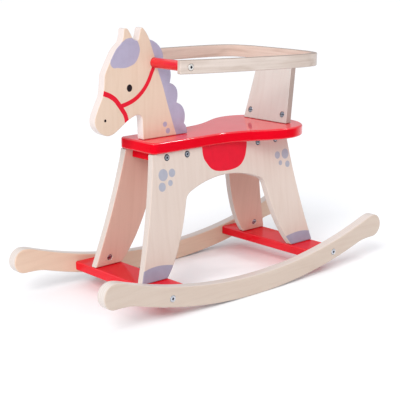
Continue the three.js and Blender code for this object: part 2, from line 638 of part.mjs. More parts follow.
function armPin(side, gap = 0) {
  const armRearZ = HANDLE_Z - ARM_HEIGHT / 2 + ARM_PITCH * (ARM_REAR_X - HANDLE_X);
  const middle = point(ARM_REAR_X + ARM_PIN_INSET, side * ARM_PIN_Y, armRearZ);
  const reach = ARM_PIN_REACH + gap;
  return rod(
    middle.clone().addScaledVector(backUp, -reach), middle.clone().addScaledVector(backUp, reach),
    ARM_PIN_DIAMETER + (gap ? HOLE_CLEARANCE : 0));
}

const armBlank = solid(pitched(flatSlab(armOutline, -ARM_HEIGHT / 2, ARM_HEIGHT / 2)));
const armHoles = LEFT_AND_RIGHT.flatMap(([, s]) => [
  ...screwHoles(...armBolt(s)), armPin(s, FIT_GAP)]);
add('arm_rail', geometryOf(cut(armBlank, armHoles)), BENT_BEECH);

// The handle bar fills the space between the arms, cut to their inner faces.
const insideArms = flatSlab(inset(armOuter, ARM_THICKNESS + FIT_GAP), 0, HANDLE_Z + BEYOND);
const handleBlank = solid(rod(
  point(HANDLE_X, -ARM_WIDE_HALF, HANDLE_Z), point(HANDLE_X, ARM_WIDE_HALF, HANDLE_Z),
  HANDLE_DIAMETER, BAR_SIDES)).intersect(solid(insideArms));
const handleHoles = LEFT_AND_RIGHT.flatMap(([, s]) => screwHoles(...armBolt(s)));
add('handle_bar', geometryOf(cut(handleBlank, handleHoles)), RED_PAINT);

// Back panel

const backOutline = new THREE.Shape();
backOutline.moveTo(-BACK_BOTTOM_HALF - 1, -BACK_OVERRUN);
backOutline.lineTo(BACK_BOTTOM_HALF + 1, -BACK_OVERRUN);
backOutline.lineTo(BACK_TOP_HALF, BACK_HEIGHT);
backOutline.lineTo(-BACK_TOP_HALF, BACK_HEIGHT);
const backBlank = upright(backOutline, 0, BACK_THICKNESS);
backBlank.rotateZ(Math.PI / 2);
backBlank.rotateY(-BACK_LEAN);
backBlank.translate(BACK_BOTTOM_X, 0, SEAT_TOP_Z);
const underArm = pitched(block(
  point(-BEYOND, -BEYOND, -BEYOND), point(0, BEYOND, -ARM_HEIGHT / 2 - FIT_GAP)));
const aboveSeat = block(
  point(-BEYOND, -BEYOND, HEAD_BOTTOM_Z), point(0, BEYOND, HEAD_BOTTOM_Z + BEYOND));
const backTrimmed = solid(backBlank).intersect(solid(underArm)).intersect(solid(aboveSeat));
const backHoles = LEFT_AND_RIGHT.flatMap(([, s]) => [
  nutPocket(backNutOpening(s), backFront.clone().negate()),
  ...screwHoles(...backBolt(s)), armPin(s, FIT_GAP)]);
add('back_panel', geometryOf(cut(backTrimmed, backHoles)), BEECH);

// Fasteners

for (const [end, e] of FRONT_AND_REAR) {
  for (const [side, s] of LEFT_AND_RIGHT) {
    const nutY = s * (BOARD_LENGTH / 2 - ROCKER_NUT_INSET);
    const nutOpen = point(e * ROCKER_BOLT_X, nutY, boardMiddleZ - NUT_LENGTH / 2);
    add(`rocker_bolt_${end}_${side}`, screw(...rockerBolt(e, s)), STEEL);
    add(`rocker_nut_${end}_${side}`, barrelNut(nutOpen, point(0, 0, 1), point(0, 1, 0)), STEEL);
    add(`rocker_pin_${end}_${side}`, rockerPin(e, s), PIN_WOOD);
    add(`leg_bolt_${end}_${side}`, screw(...legBolt(e, s)), STEEL);
    add(`leg_nut_${end}_${side}`,
      barrelNut(legNutOpening(e, s), panelOut(s), panelDown(s)), STEEL);
  }
}
for (const [side, s] of LEFT_AND_RIGHT) {
  for (const [place, x] of panelScrewXs) {
    add(`panel_screw_${place}_${side}`, screw(...panelScrew(x, s)), STEEL);
  }
  add(`back_bolt_${side}`, screw(...backBolt(s)), STEEL);
  add(`back_nut_${side}`,
    barrelNut(backNutOpening(s), backFront.clone().negate(), backUp), STEEL);
  add(`arm_bolt_${side}`, screw(...armBolt(s)), STEEL);
  add(`arm_pin_${side}`, armPin(s), PIN_WOOD);
}
for (const [place, x] of HEAD_BOLT_XS) {
  add(`head_bolt_${place}`, screw(...headBolt(x)), STEEL);
  add(`head_nut_${place}`,
    barrelNut(headNutOpening(x), point(0, 1, 0), point(0, 0, 1)), STEEL);
}
for (const [place, ends] of seatScrews) {
  add(`seat_screw_${place}`, screw(...ends), STEEL);
}

export default horse;
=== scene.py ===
"""A wooden rocking horse for a toddler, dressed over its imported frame.

Painted plywood boards, a gloss red seat, foot boards and handle bar, a bent wooden arm rail and
zinc connector bolts. Sizes are in millimetres and become metres when a piece is placed.
+X points to the nose, +Y to the horse's left and +Z up. The floor is z = 0.
"""

import logging
import math
from collections.abc import Callable, Sequence
from dataclasses import dataclass, field, replace
from enum import Enum

import bmesh
import bpy
from mathutils import Euler, Matrix, Vector


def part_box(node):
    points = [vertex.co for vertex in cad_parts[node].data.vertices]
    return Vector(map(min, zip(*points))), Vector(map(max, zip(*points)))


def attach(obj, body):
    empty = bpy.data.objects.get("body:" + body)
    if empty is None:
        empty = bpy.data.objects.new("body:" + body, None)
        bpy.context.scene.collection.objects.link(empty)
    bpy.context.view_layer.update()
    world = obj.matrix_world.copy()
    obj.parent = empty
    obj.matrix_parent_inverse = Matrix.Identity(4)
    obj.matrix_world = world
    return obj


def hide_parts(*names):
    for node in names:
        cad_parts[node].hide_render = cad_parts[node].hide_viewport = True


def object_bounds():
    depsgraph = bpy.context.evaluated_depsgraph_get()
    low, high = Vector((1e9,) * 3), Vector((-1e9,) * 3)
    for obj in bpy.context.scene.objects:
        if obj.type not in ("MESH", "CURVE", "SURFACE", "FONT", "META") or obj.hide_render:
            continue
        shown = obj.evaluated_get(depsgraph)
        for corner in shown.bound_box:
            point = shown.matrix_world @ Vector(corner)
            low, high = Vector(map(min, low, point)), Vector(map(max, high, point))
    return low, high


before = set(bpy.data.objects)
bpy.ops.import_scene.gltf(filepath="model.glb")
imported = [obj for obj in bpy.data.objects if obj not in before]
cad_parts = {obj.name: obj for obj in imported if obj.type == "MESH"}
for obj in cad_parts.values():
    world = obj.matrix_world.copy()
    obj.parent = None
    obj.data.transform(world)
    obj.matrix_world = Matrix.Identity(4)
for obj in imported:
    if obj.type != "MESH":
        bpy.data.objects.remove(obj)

CAD_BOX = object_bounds()
BODY = "root"
MM = 0.001
GAP = 0.3
TOUCHING = 0.01
WELD = 0.001
LATHE_WELD = 0.0005
LATHE_STEPS = 32
SHARP_ABOVE = math.radians(32)
UNSCALED = (1.0, 1.0, 1.0)
MIX_INPUTS = (0, 6, 7)
MIX_RESULT = 2

log = logging.getLogger("rocking_horse")

Point = tuple[float, float]
Triple = tuple[float, float, float]
Colour = Triple
Socket = bpy.types.NodeSocket
Tint = Colour | Socket
Mesh = bmesh.types.BMesh


class Slot(Enum):
    """The record's material slots."""

    BEECH = "beech"
    BENT_BEECH = "bent_beech"
    RED_PAINT = "red_paint"
    STEEL = "steel"
    PIN_WOOD = "pin_wood"


class Side(Enum):
    """Which side of the horse a piece is on, as the sign of its Y."""

    LEFT = 1
    RIGHT = -1

    @property
    def word(self) -> str:
        """The side's part of a node name."""
        return self.name.lower()


class End(Enum):
    """Which end of the horse a piece is at, as the sign of its X."""

    FRONT = 1
    REAR = -1

    @property
    def word(self) -> str:
        """The end's part of a node name."""
        return self.name.lower()


def linear(red: int, green: int, blue: int) -> Colour:
    """Turns a paint chart's display colour into a linear one.

    Args:
        red, green, blue: From 0 to 255.

    Returns:
        The linear colour.
    """

    def channel(value: int) -> float:
        """One channel."""
        share = value / 255
        return share / 12.92 if share <= 0.04045 else ((share + 0.055) / 1.055) ** 2.4

    return channel(red), channel(green), channel(blue)


# ---------------------------------------------------------------------------------------------
# Outlines and meshes


class Outline:
    """A closed outline in a board's own plane, drawn one stretch after another."""

    def __init__(self, start: Point) -> None:
        """Starts the outline at a point."""
        self.points: list[Point] = [start]

    def line(self, *ends: Point) -> "Outline":
        """Adds straight stretches to each of the ends in turn."""
        self.points.extend(ends)
        return self

    def quad(self, control: Point, end: Point, steps: int = 8) -> "Outline":
        """Adds a curve with one control point.

        Args:
            control: The control point.
            end: Where the curve ends.
            steps: How many straight steps it is made of.

        Returns:
            The outline.
        """
        return self.cubic(
            mixed(self.points[-1], control, 2 / 3), mixed(end, control, 2 / 3), end, steps
        )

    def cubic(self, first: Point, second: Point, end: Point, steps: int = 12) -> "Outline":
        """Adds a curve with two control points.

        Args:
            first, second: The control points.
            end: Where the curve ends.
            steps: How many straight steps it is made of.

        Returns:
            The outline.
        """
        start = self.points[-1]
        for step in range(1, steps + 1):
            t = step / steps
            weights = ((1 - t) ** 3, 3 * t * (1 - t) ** 2, 3 * t * t * (1 - t), t**3)
            corners = (start, first, second, end)
            self.points.append(
                (
                    sum(w * c[0] for w, c in zip(weights, corners)),
                    sum(w * c[1] for w, c in zip(weights, corners)),
                )
            )
        return self

    def arc(
        self, centre: Point, radius: float, start: float, end: float, steps: int
    ) -> "Outline":
        """Adds an arc, from one angle in radians to another.

        Args:
            centre: The arc's centre.
            radius: Its radius.
            start, end: The angles.
            steps: How many straight steps it is made of.

        Returns:
            The outline.
        """
        for step in range(steps + 1):
            angle = start + (end - start) * step / steps
            point = (
                centre[0] + radius * math.cos(angle),
                centre[1] + radius * math.sin(angle),
            )
            if math.dist(point, self.points[-1]) > TOUCHING:
                self.points.append(point)
        return self

    def spline(self, knots: Sequence[Point], steps: int = 5) -> "Outline":
        """Adds one smooth curve through all the knots.

        Args:
            knots: The points that it passes through.
            steps: How many straight steps lie between two knots.

        Returns:
            The outline.
        """
        run = [self.points[-1], *knots]
        for i in range(len(run) - 1):
            before, after = run[max(i - 1, 0)], run[min(i + 2, len(run) - 1)]
            start, end = run[i], run[i + 1]
            first = (start[0] + (end[0] - before[0]) / 6, start[1] + (end[1] - before[1]) / 6)
            second = (end[0] - (after[0] - start[0]) / 6, end[1] - (after[1] - start[1]) / 6)
            self.cubic(first, second, end, steps)
        return self

    def mirror(self, x_sign: int, y_sign: int, skip: int = 0) -> "Outline":
        """Adds the other half of a symmetric outline, whose last point is on the middle line.

        Args:
            x_sign, y_sign: 1 to keep a coordinate, and -1 to turn it over.
            skip: How many points at the start are not mirrored.

        Returns:
            The outline.
        """
        back = reversed(self.points[skip:-1])
        return self.line(*((x * x_sign, y * y_sign) for x, y in back))

    def closed(self) -> list[Point]:
        """The outline's points, without a last one that repeats the first."""
        again = math.dist(self.points[0], self.points[-1]) < TOUCHING
        return self.points[:-1] if again else self.points


def mixed(first: Point, second: Point, share: float) -> Point:
    """The point that lies a share of the way from one point to another.

    Args:
        first, second: The two points.
        share: 0 at the first and 1 at the second.

    Returns:
        The point between.
    """
    return (
        first[0] + (second[0] - first[0]) * share,
        first[1] + (second[1] - first[1]) * share,
    )


def face_outward(bm: Mesh) -> None:
    """Turns every face of a closed mesh outwards.

    Args:
        bm: The mesh.
    """
    bmesh.ops.recalc_face_normals(bm, faces=bm.faces)
    if bm.calc_volume(signed=True) < 0:
        bmesh.ops.reverse_faces(bm, faces=bm.faces)


def raise_faces(bm: Mesh, faces: Sequence[bmesh.types.BMFace], height: float) -> None:
    """Gives flat faces a thickness.

    Args:
        bm: The mesh.
        faces: The faces.
        height: The thickness, upwards.
    """
    grown = bmesh.ops.extrude_face_region(bm, geom=faces)
    top = [part for part in grown["geom"] if isinstance(part, bmesh.types.BMVert)]
    bmesh.ops.translate(bm, verts=top, vec=(0, 0, height))
    face_outward(bm)


def plate(outline: Sequence[Point], low: float, high: float) -> Mesh:
    """Makes a board of one thickness.

    Args:
        outline: Its outline, in its own plane.
        low, high: Where its faces are.

    Returns:
        The closed mesh.
    """
    bm = bmesh.new()
    face = bm.faces.new([bm.verts.new((u, v, low)) for u, v in outline])
    raise_faces(bm, [face], high - low)
    return bm


def trim(bm: Mesh, point: Vector, outward: Vector) -> None:
    """Cuts a mesh off at a plane and closes the cut.

    Args:
        bm: The mesh.
        point: A point on the plane.
        outward: The way to what is cut off.
    """
    parts = [*bm.verts, *bm.edges, *bm.faces]
    cut = bmesh.ops.bisect_plane(
        bm, geom=parts, plane_co=point, plane_no=outward, clear_outer=True
    )
    rim = [part for part in cut["geom_cut"] if isinstance(part, bmesh.types.BMEdge)]
    bmesh.ops.holes_fill(bm, edges=rim, sides=0)
    face_outward(bm)


def round_edges(
    bm: Mesh, radius: float, segments: int = 3, only: Sequence[bmesh.types.BMEdge] = ()
) -> None:
    """Rounds some edges, or every outer edge that is sharp.

    Args:
        bm: The mesh.
        radius: The rounding.
        segments: How many flats make it.
        only: The edges, or none for every sharp one.
    """
    sharp = [
        edge
        for edge in bm.edges
        if len(edge.link_faces) == 2 and edge.is_convex and edge.calc_face_angle() > SHARP_ABOVE
    ]
    bmesh.ops.bevel(
        bm,
        geom=only or sharp,
        offset=radius,
        offset_type="OFFSET",
        affect="EDGES",
        segments=segments,
        profile=0.5,
        material=-1,
        clamp_overlap=False,
    )
    bmesh.ops.remove_doubles(bm, verts=bm.verts, dist=WELD)
    face_outward(bm)


def rod(radius: float, length: float, sides: int) -> Mesh:
    """Makes a rod along the Z axis, with its middle at the origin.

    Args:
        radius, length: Its size.
        sides: How many sides it has.

    Returns:
        The closed mesh.
    """
    bm = bmesh.new()
    ends = {"radius1": radius, "radius2": radius, "depth": length}
    bmesh.ops.create_cone(bm, cap_ends=True, segments=sides, **ends)
    return bm


def lathe(profile: Sequence[Point], steps: int = LATHE_STEPS) -> Mesh:
    """Spins a profile of radius and height about the Z axis.

    Args:
        profile: Radius and height of each corner, from one end of the axis to the other.
        steps: How many sides the result has.

    Returns:
        The closed mesh.
    """
    bm = bmesh.new()
    corners = [bm.verts.new((radius, 0, height)) for radius, height in profile]
    runs = [bm.edges.new(pair) for pair in zip(corners, corners[1:])]
    bmesh.ops.spin(
        bm,
        geom=[*corners, *runs],
        cent=(0, 0, 0),
        axis=(0, 0, 1),
        dvec=(0, 0, 0),
        angle=math.tau,
        steps=steps,
        use_merge=True,
    )
    bmesh.ops.remove_doubles(bm, verts=bm.verts, dist=LATHE_WELD)
    face_outward(bm)
    return bm


def as_object(bm: Mesh, name: str) -> bpy.types.Object:
    """Turns a bmesh into an object in the scene and frees the bmesh.

    Args:
        bm: The mesh.
        name: The name of the object and its mesh.

    Returns:
        The object.
    """
    mesh = bpy.data.meshes.new(name)
    bm.to_mesh(mesh)
    bm.free()
    made = bpy.data.objects.new(name, mesh)
    bpy.context.scene.collection.objects.link(made)
    return made


def bored(bm: Mesh, cutters: Sequence[Mesh]) -> Mesh:
    """Cuts holes and pockets.

    Args:
        bm: What is cut. It is freed.
        cutters: Closed meshes that are taken away. They are freed.

    Returns:
        The cut mesh.
    """
    blank = as_object(bm, "blank")
    tools = [as_object(cutter, "cutter") for cutter in cutters]
    for tool in tools:
        step = blank.modifiers.new("bore", "BOOLEAN")
        step.operation = "DIFFERENCE"
        step.solver = "EXACT"
        step.object = tool
    bpy.context.view_layer.update()
    evaluated = blank.evaluated_get(bpy.context.evaluated_depsgraph_get())
    result = bmesh.new()
    result.from_mesh(evaluated.to_mesh())
    evaluated.to_mesh_clear()
    for used in (blank, *tools):
        mesh = used.data
        bpy.data.objects.remove(used)
        bpy.data.meshes.remove(mesh)
    bmesh.ops.remove_doubles(result, verts=result.verts, dist=WELD)
    return result


def aim(start: Vector, direction: Vector) -> Matrix:
    """The placing that puts the origin at a point and turns Z to a direction."""
    return Matrix.Translation(start) @ direction.to_track_quat("Z", "X").to_matrix().to_4x4()


def placed(bm: Mesh, placing: Matrix) -> Mesh:
    """Moves a mesh and gives it back."""
    bmesh.ops.transform(bm, matrix=placing, verts=bm.verts)
    return bm


def span(node: str, direction: Vector) -> Point:
    """How far a CAD node reaches along a direction.

    Args:
        node: The node's name.
        direction: A unit vector.

    Returns:
        The lowest and the highest reach, in millimetres.
    """
    reaches = [corner.co.dot(direction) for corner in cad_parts[node].data.vertices]
    return min(reaches) / MM, max(reaches) / MM


def axis_of(node: str, direction: Vector) -> tuple[Vector, float]:
    """Where a round CAD node's axis starts, and its length.

    Args:
        node: The node's name.
        direction: The way from its open end or head to its tip.

    Returns:
        The start in millimetres, and the length.
    """
    direction = direction.normalized()
    first = direction.orthogonal().normalized()
    second = direction.cross(first)
    low, high = span(node, direction)
    start = direction * low
    for across in (first, second):
        start += across * (sum(span(node, across)) / 2)
    return start, high - low


# ---------------------------------------------------------------------------------------------
# Where the boards lie


def standing(y: float) -> Matrix:
    """The placing of a board that stands along the horse, with its first face at y."""
    turned = Matrix(((1, 0, 0), (0, 0, -1), (0, 1, 0))).to_4x4()
    return Matrix.Translation((0, y, 0)) @ turned


def in_metres(placing: Matrix) -> Matrix:
    """A placing in millimetres as one in metres, for a finish."""
    return Matrix.Translation(placing.translation * MM) @ placing.to_3x3().to_4x4()


PANEL_SPLAY = math.radians(7.6)
BACK_LEAN = math.atan(0.225)
RAIL_PITCH = math.atan(0.02)


def panel_out(side: Side) -> Vector:
    """The way that a side panel's outer face looks."""
    return Vector((0, side.value * math.cos(PANEL_SPLAY), math.sin(PANEL_SPLAY)))


def panel_up(side: Side) -> Vector:
    """The way up along a side panel."""
    return Vector((0, -side.value * math.sin(PANEL_SPLAY), math.cos(PANEL_SPLAY)))


BACK_UP = Vector((-math.sin(BACK_LEAN), 0, math.cos(BACK_LEAN)))
BACK_FRONT = Vector((math.cos(BACK_LEAN), 0, math.sin(BACK_LEAN)))
UP = Vector((0, 0, 1))
FORWARD = Vector((1, 0, 0))
LEFTWARD = Vector((0, 1, 0))
TO_LENGTH = Matrix(((0, 0, 1), (1, 0, 0), (0, 1, 0))).to_4x4()


# ---------------------------------------------------------------------------------------------
# Finishes


@dataclass(frozen=True)
class Noise:
    """A cloudy pattern. Its waves are counted over one unit of each axis."""

    waves: Triple
    detail: float = 3.0
    roughness: float = 0.55
    warp: float = 0.0


class Value:
    """A number that a material works out at each place."""

    def __init__(self, sheet: "NodeSheet", socket: Socket) -> None:
        """Wraps a node's output."""
        self.sheet = sheet
        self.socket = socket

    def __add__(self, other: "Number") -> "Value":
        """The sum."""
        return self.sheet.math("ADD", self, other)

    def __sub__(self, other: "Number") -> "Value":
        """The difference."""
        return self.sheet.math("SUBTRACT", self, other)

    def __rsub__(self, other: "Number") -> "Value":
        """The difference from a plain number."""
        return self.sheet.math("SUBTRACT", other, self)

    def __mul__(self, other: "Number") -> "Value":
        """The product."""
        return self.sheet.math("MULTIPLY", self, other)

    def __truediv__(self, other: "Number") -> "Value":
        """The quotient."""
        return self.sheet.math("DIVIDE", self, other)

    def __abs__(self) -> "Value":
        """The number without its sign."""
        return self.sheet.math("ABSOLUTE", self)

    def or_more(self, other: "Number") -> "Value":
        """The larger of two numbers."""
        return self.sheet.math("MAXIMUM", self, other)

    def or_less(self, other: "Number") -> "Value":
        """The smaller of two numbers."""
        return self.sheet.math("MINIMUM", self, other)

    def above(self, limit: float) -> "Value":
        """1 above a limit and 0 below it."""
        return self.sheet.math("GREATER_THAN", self, limit)

    def step(self, low: float, high: float) -> "Value":
        """A smooth step.

        Args:
            low: The number at which the step is 0.
            high: The number at which it is 1.

        Returns:
            The step.
        """
        made = self.sheet.node("ShaderNodeMapRange", Value=self, From_Min=low, From_Max=high)
        made.interpolation_type = "SMOOTHSTEP"
        return Value(self.sheet, made.outputs[0])

    def curve(self, points: Sequence[Point]) -> "Value":
        """A smooth curve through points, for a number from 0 to 1.

        Args:
            points: The points, with both numbers from 0 to 1.

        Returns:
            The curve's height.
        """
        made = self.sheet.node("ShaderNodeFloatCurve", Value=self)
        line = made.mapping.curves[0]
        line.points[0].location = points[0]
        line.points[-1].location = points[-1]
        for point in points[1:-1]:
            line.points.new(*point)
        made.mapping.update()
        return Value(self.sheet, made.outputs[0])


Number = float | Value
Look = tuple[Socket, Value, Value]


class NodeSheet:
    """Adds and joins the nodes of one material."""

    def __init__(self, name: str) -> None:
        """Starts an empty node material.

        Args:
            name: The material's name.
        """
        self.material = bpy.data.materials.new(name)
        self.material.use_nodes = True
        self.tree = self.material.node_tree
        self.tree.nodes.clear()

    def node(self, kind: str, **inputs: object) -> bpy.types.Node:
        """Adds a node.

        Args:
            kind: The node's type.
            inputs: What its inputs are, by name with _ for a space.

        Returns:
            The node.
        """
        made = self.tree.nodes.new(kind)
        for name, value in inputs.items():
            self.put(made.inputs[name.replace("_", " ")], value)
        return made

    def put(self, target: Socket, value: object) -> None:
        """Gives an input a value, or joins it to another node's output.

        Args:
            target: The input.
            value: A number, a colour, a vector or an output.
        """
        value = value.socket if isinstance(value, Value) else value
        if isinstance(value, Socket):
            self.tree.links.new(value, target)
        elif target.type == "RGBA":
            target.default_value = (*value, 1.0)
        else:
            target.default_value = value

    def math(self, operation: str, *values: Number, clamp: bool = False) -> Value:
        """Adds a Math node.

        Args:
            operation: What it works out.
            values: Its inputs.
            clamp: Whether the result stays between 0 and 1.

        Returns:
            The result.
        """
        made = self.tree.nodes.new("ShaderNodeMath")
        made.operation = operation
        made.use_clamp = clamp
        for target, value in zip(made.inputs, values):
            self.put(target, value)
        return Value(self, made.outputs[0])

    def radius(self, across: Value, up: Value) -> Value:
        """The distance that two distances at right angles make."""
        return self.math("SQRT", across * across + up * up)

    def dot(self, vector: Socket, direction: Vector) -> Value:
        """The part of a vector along a direction.

        Args:
            vector: The vector.
            direction: A unit vector.

        Returns:
            The length of that part.
        """
        made = self.tree.nodes.new("ShaderNodeVectorMath")
        made.operation = "DOT_PRODUCT"
        self.put(made.inputs[0], vector)
        self.put(made.inputs[1], direction)
        return Value(self, made.outputs["Value"])

    def parts(self, vector: Socket) -> list[Value]:
        """The three parts of a vector."""
        made = self.node("ShaderNodeSeparateXYZ", Vector=vector)
        return [Value(self, part) for part in made.outputs]

    def scaled(self, vector: Socket, scale: Triple, turn: float = 0.0) -> Socket:
        """A vector times a scale on each axis, turned about its last axis."""
        turns = (0.0, 0.0, turn)
        return self.node("ShaderNodeMapping", Vector=vector, Scale=scale, Rotation=turns).outputs[0]

    def noise(self, vector: Socket, pattern: Noise) -> Value:
        """A noise over a vector.

        Args:
            vector: The vector.
            pattern: The noise's pattern.

        Returns:
            The noise, from 0 to 1.
        """
        made = self.node(
            "ShaderNodeTexNoise",
            Vector=self.scaled(vector, pattern.waves),
            Scale=1.0,
            Detail=pattern.detail,
            Roughness=pattern.roughness,
            Distortion=pattern.warp,
        )
        return Value(self, made.outputs["Fac"])

    def blend(
        self, share: Number, first: Tint, second: Tint, kind: str = "MIX"
    ) -> Socket:
        """Mixes two colours.

        Args:
            share: 0 for the first alone, and 1 for all of the second.
            first, second: The colours.
            kind: How the second is laid over the first.

        Returns:
            The mixed colour.
        """
        made = self.tree.nodes.new("ShaderNodeMix")
        made.data_type = "RGBA"
        made.blend_type = kind
        for place, value in zip(MIX_INPUTS, (share, first, second)):
            self.put(made.inputs[place], value)
        return made.outputs[MIX_RESULT]

    def object_normal(self) -> Socket:
        """The surface's direction in the object's own axes."""
        return self.node("ShaderNodeTexCoord").outputs["Normal"]

    def object_place(self) -> Socket:
        """The place on the object, in metres."""
        return self.node("ShaderNodeTexCoord").outputs["Object"]

    def glance(self) -> Value:
        """0 where the surface is seen straight on, and 1 along its edge."""
        return Value(self, self.node("ShaderNodeLayerWeight", Blend=0.5).outputs["Facing"])

    def on_board(self, placing: Matrix) -> Socket:
        """The place on a board.

        Args:
            placing: The board's placing, in metres.

        Returns:
            The place, in millimetres from the board's own corner.
        """
        back = placing.inverted()
        made = self.node(
            "ShaderNodeMapping",
            Vector=self.object_place(),
            Scale=(1 / MM,) * 3,
            Rotation=back.to_euler(),
            Location=back.translation / MM,
        )
        return made.outputs[0]

    def bump(self, height: Value, depth: float, strength: float) -> Socket:
        """A bump, from a height that runs from 0 to 1 over a depth in millimetres."""
        made = self.node("ShaderNodeBump", Height=height, Strength=strength, Distance=depth * MM)
        return made.outputs[0]

    def surface(self, **inputs: object) -> bpy.types.Material:
        """Ends the material with a Principled surface.

        Args:
            inputs: Its inputs, by name with _ for a space.

        Returns:
            The material.
        """
        shader = self.node("ShaderNodeBsdfPrincipled", **inputs)
        output = self.tree.nodes.new("ShaderNodeOutputMaterial")
        self.tree.links.new(shader.outputs[0], output.inputs["Surface"])
        return self.material


RIM_MARGIN = 1.2
STRAP_END_RADIUS = 50.0
DIP_MARGIN = 10.0
PAINT_BLUR = 0.25


@dataclass(frozen=True)
class Spot:
    """A round or oval dab of paint."""

    u: float
    v: float
    across: float
    up: float

    def depth(self, sheet: NodeSheet, u: Value, v: Value) -> Value:
        """About how far inside the dab a place is, in millimetres."""
        out = sheet.radius((u - self.u) / self.across, (v - self.v) / self.up)
        return (1.0 - out) * min(self.across, self.up)


@dataclass(frozen=True)
class Patch:
    """A patch of paint, given by its middle and points round its edge."""

    middle: Point
    edge: tuple[Point, ...]

    def depth(self, sheet: NodeSheet, u: Value, v: Value) -> Value:
        """About how far inside the patch a place is.

        Args:
            sheet: The material's nodes.
            u, v: The place on the board.

        Returns:
            The distance, in millimetres.
        """
        polar = sorted(turned(self.middle, 0.0, point) for point in self.edge)
        first, last = polar[0], polar[-1]
        gap = first[0] + 1 - last[0]
        seam = last[1] + (first[1] - last[1]) * (1 - last[0]) / gap
        share, radius = polar_place(sheet, (u, v), self.middle, 0.0)
        return rim(share, [(0.0, seam), *polar, (1.0, seam)]) - radius


@dataclass(frozen=True)
class Strap:
    """A painted strap of one width along a bend."""

    centre: Point
    facing: float
    line: tuple[Point, ...]
    width: float

    def depth(self, sheet: NodeSheet, u: Value, v: Value) -> Value:
        """About how far inside the strap a place is.

        Args:
            sheet: The material's nodes.
            u, v: The place on the board.

        Returns:
            The distance, in millimetres.
        """
        facing = math.radians(self.facing)
        polar = sorted(turned(self.centre, facing, point) for point in self.line)
        first, last = polar[0], polar[-1]
        share, radius = polar_place(sheet, (u, v), self.centre, facing)
        off = abs(rim(share, [(0.0, first[1]), *polar, (1.0, last[1])]) - radius)
        off_middle = abs(share - (first[0] + last[0]) / 2)
        to_end = ((last[0] - first[0]) / 2 - off_middle) * (math.tau * STRAP_END_RADIUS)
        return (self.width / 2 - off).or_less(to_end)


@dataclass(frozen=True)
class Dip:
    """Paint up to a line over a stretch of the board, as on a hoof."""

    line: tuple[Point, ...]

    def depth(self, sheet: NodeSheet, u: Value, v: Value) -> Value:
        """How far below the line a place is.

        Args:
            sheet: The material's nodes.
            u, v: The place on the board.

        Returns:
            The distance, in millimetres.
        """
        run = sorted(self.line)
        low, high = run[0][0], run[-1][0]
        top = max(up for _, up in run)
        floor = min(up for _, up in run) - DIP_MARGIN
        points = [((at - low) / (high - low), (up - floor) / (top - floor)) for at, up in run]
        height = ((u - low) / (high - low)).curve(points) * (top - floor) + floor
        to_side = (high - low) / 2 - abs(u - (low + high) / 2)
        return (height - v).or_less(to_side)


@dataclass(frozen=True)
class Behind:
    """Paint behind a line that runs up the board, as on a mane."""

    line: tuple[Point, ...]

    def depth(self, sheet: NodeSheet, u: Value, v: Value) -> Value:
        """How far behind the line a place is.

        Args:
            sheet: The material's nodes.
            u, v: The place on the board.

        Returns:
            The distance, in millimetres.
        """
        run = sorted(self.line, key=lambda point: point[1])
        low, high = run[0][1], run[-1][1]
        least, most = min(at for at, _ in run), max(at for at, _ in run)
        points = [((up - low) / (high - low), (at - least) / (most - least)) for at, up in run]
        return ((v - low) / (high - low)).curve(points) * (most - least) + least - u


def turned(centre: Point, facing: float, point: Point) -> Point:
    """The share of a turn and the radius of a point about a centre."""
    angle = math.atan2(point[1] - centre[1], point[0] - centre[0]) - facing
    return (angle / math.tau + 0.5) % 1.0, math.dist(centre, point)


def rim(share: Value, polar: Sequence[Point]) -> Value:
    """The radius of a curve through points that are given by share of a turn and radius."""
    widest = max(radius for _, radius in polar[1:-1]) * RIM_MARGIN
    return share.curve([(at, far / widest) for at, far in polar]) * widest


def polar_place(
    sheet: NodeSheet, place: tuple[Value, Value], centre: Point, facing: float
) -> tuple[Value, Value]:
    """A place as a share of a turn and a radius about a centre.

    Args:
        sheet: The material's nodes.
        place: The place on the board.
        centre: The centre.
        facing: The angle that is half a turn from the seam.

    Returns:
        The share of a turn, from 0 to 1, and the radius.
    """
    along, rise = place[0] - centre[0], place[1] - centre[1]
    cos, sin = math.cos(facing), math.sin(facing)
    forward, sideways = along * cos + rise * sin, rise * cos - along * sin
    angle = sheet.math("ARCTAN2", sideways, forward)
    return angle * (1 / math.tau) + 0.5, sheet.radius(along, rise)


@dataclass(frozen=True)
class Paint:
    """One colour of paint and the shapes that it is put on in."""

    colour: Colour
    roughness: float
    shapes: tuple[Spot | Patch | Strap | Dip | Behind, ...]

    def cover(self, sheet: NodeSheet, u: Value, v: Value, ragged: Value) -> Value:
        """How much of the wood the paint hides, from 0 to 1.

        Args:
            sheet: The material's nodes.
            u, v: The place on the board.
            ragged: A small noise that unsettles the paint's edge, in millimetres.

        Returns:
            The cover.
        """
        deepest = self.shapes[0].depth(sheet, u, v)
        for shape in self.shapes[1:]:
            deepest = deepest.or_more(shape.depth(sheet, u, v))
        return (deepest + ragged).step(-PAINT_BLUR, PAINT_BLUR)


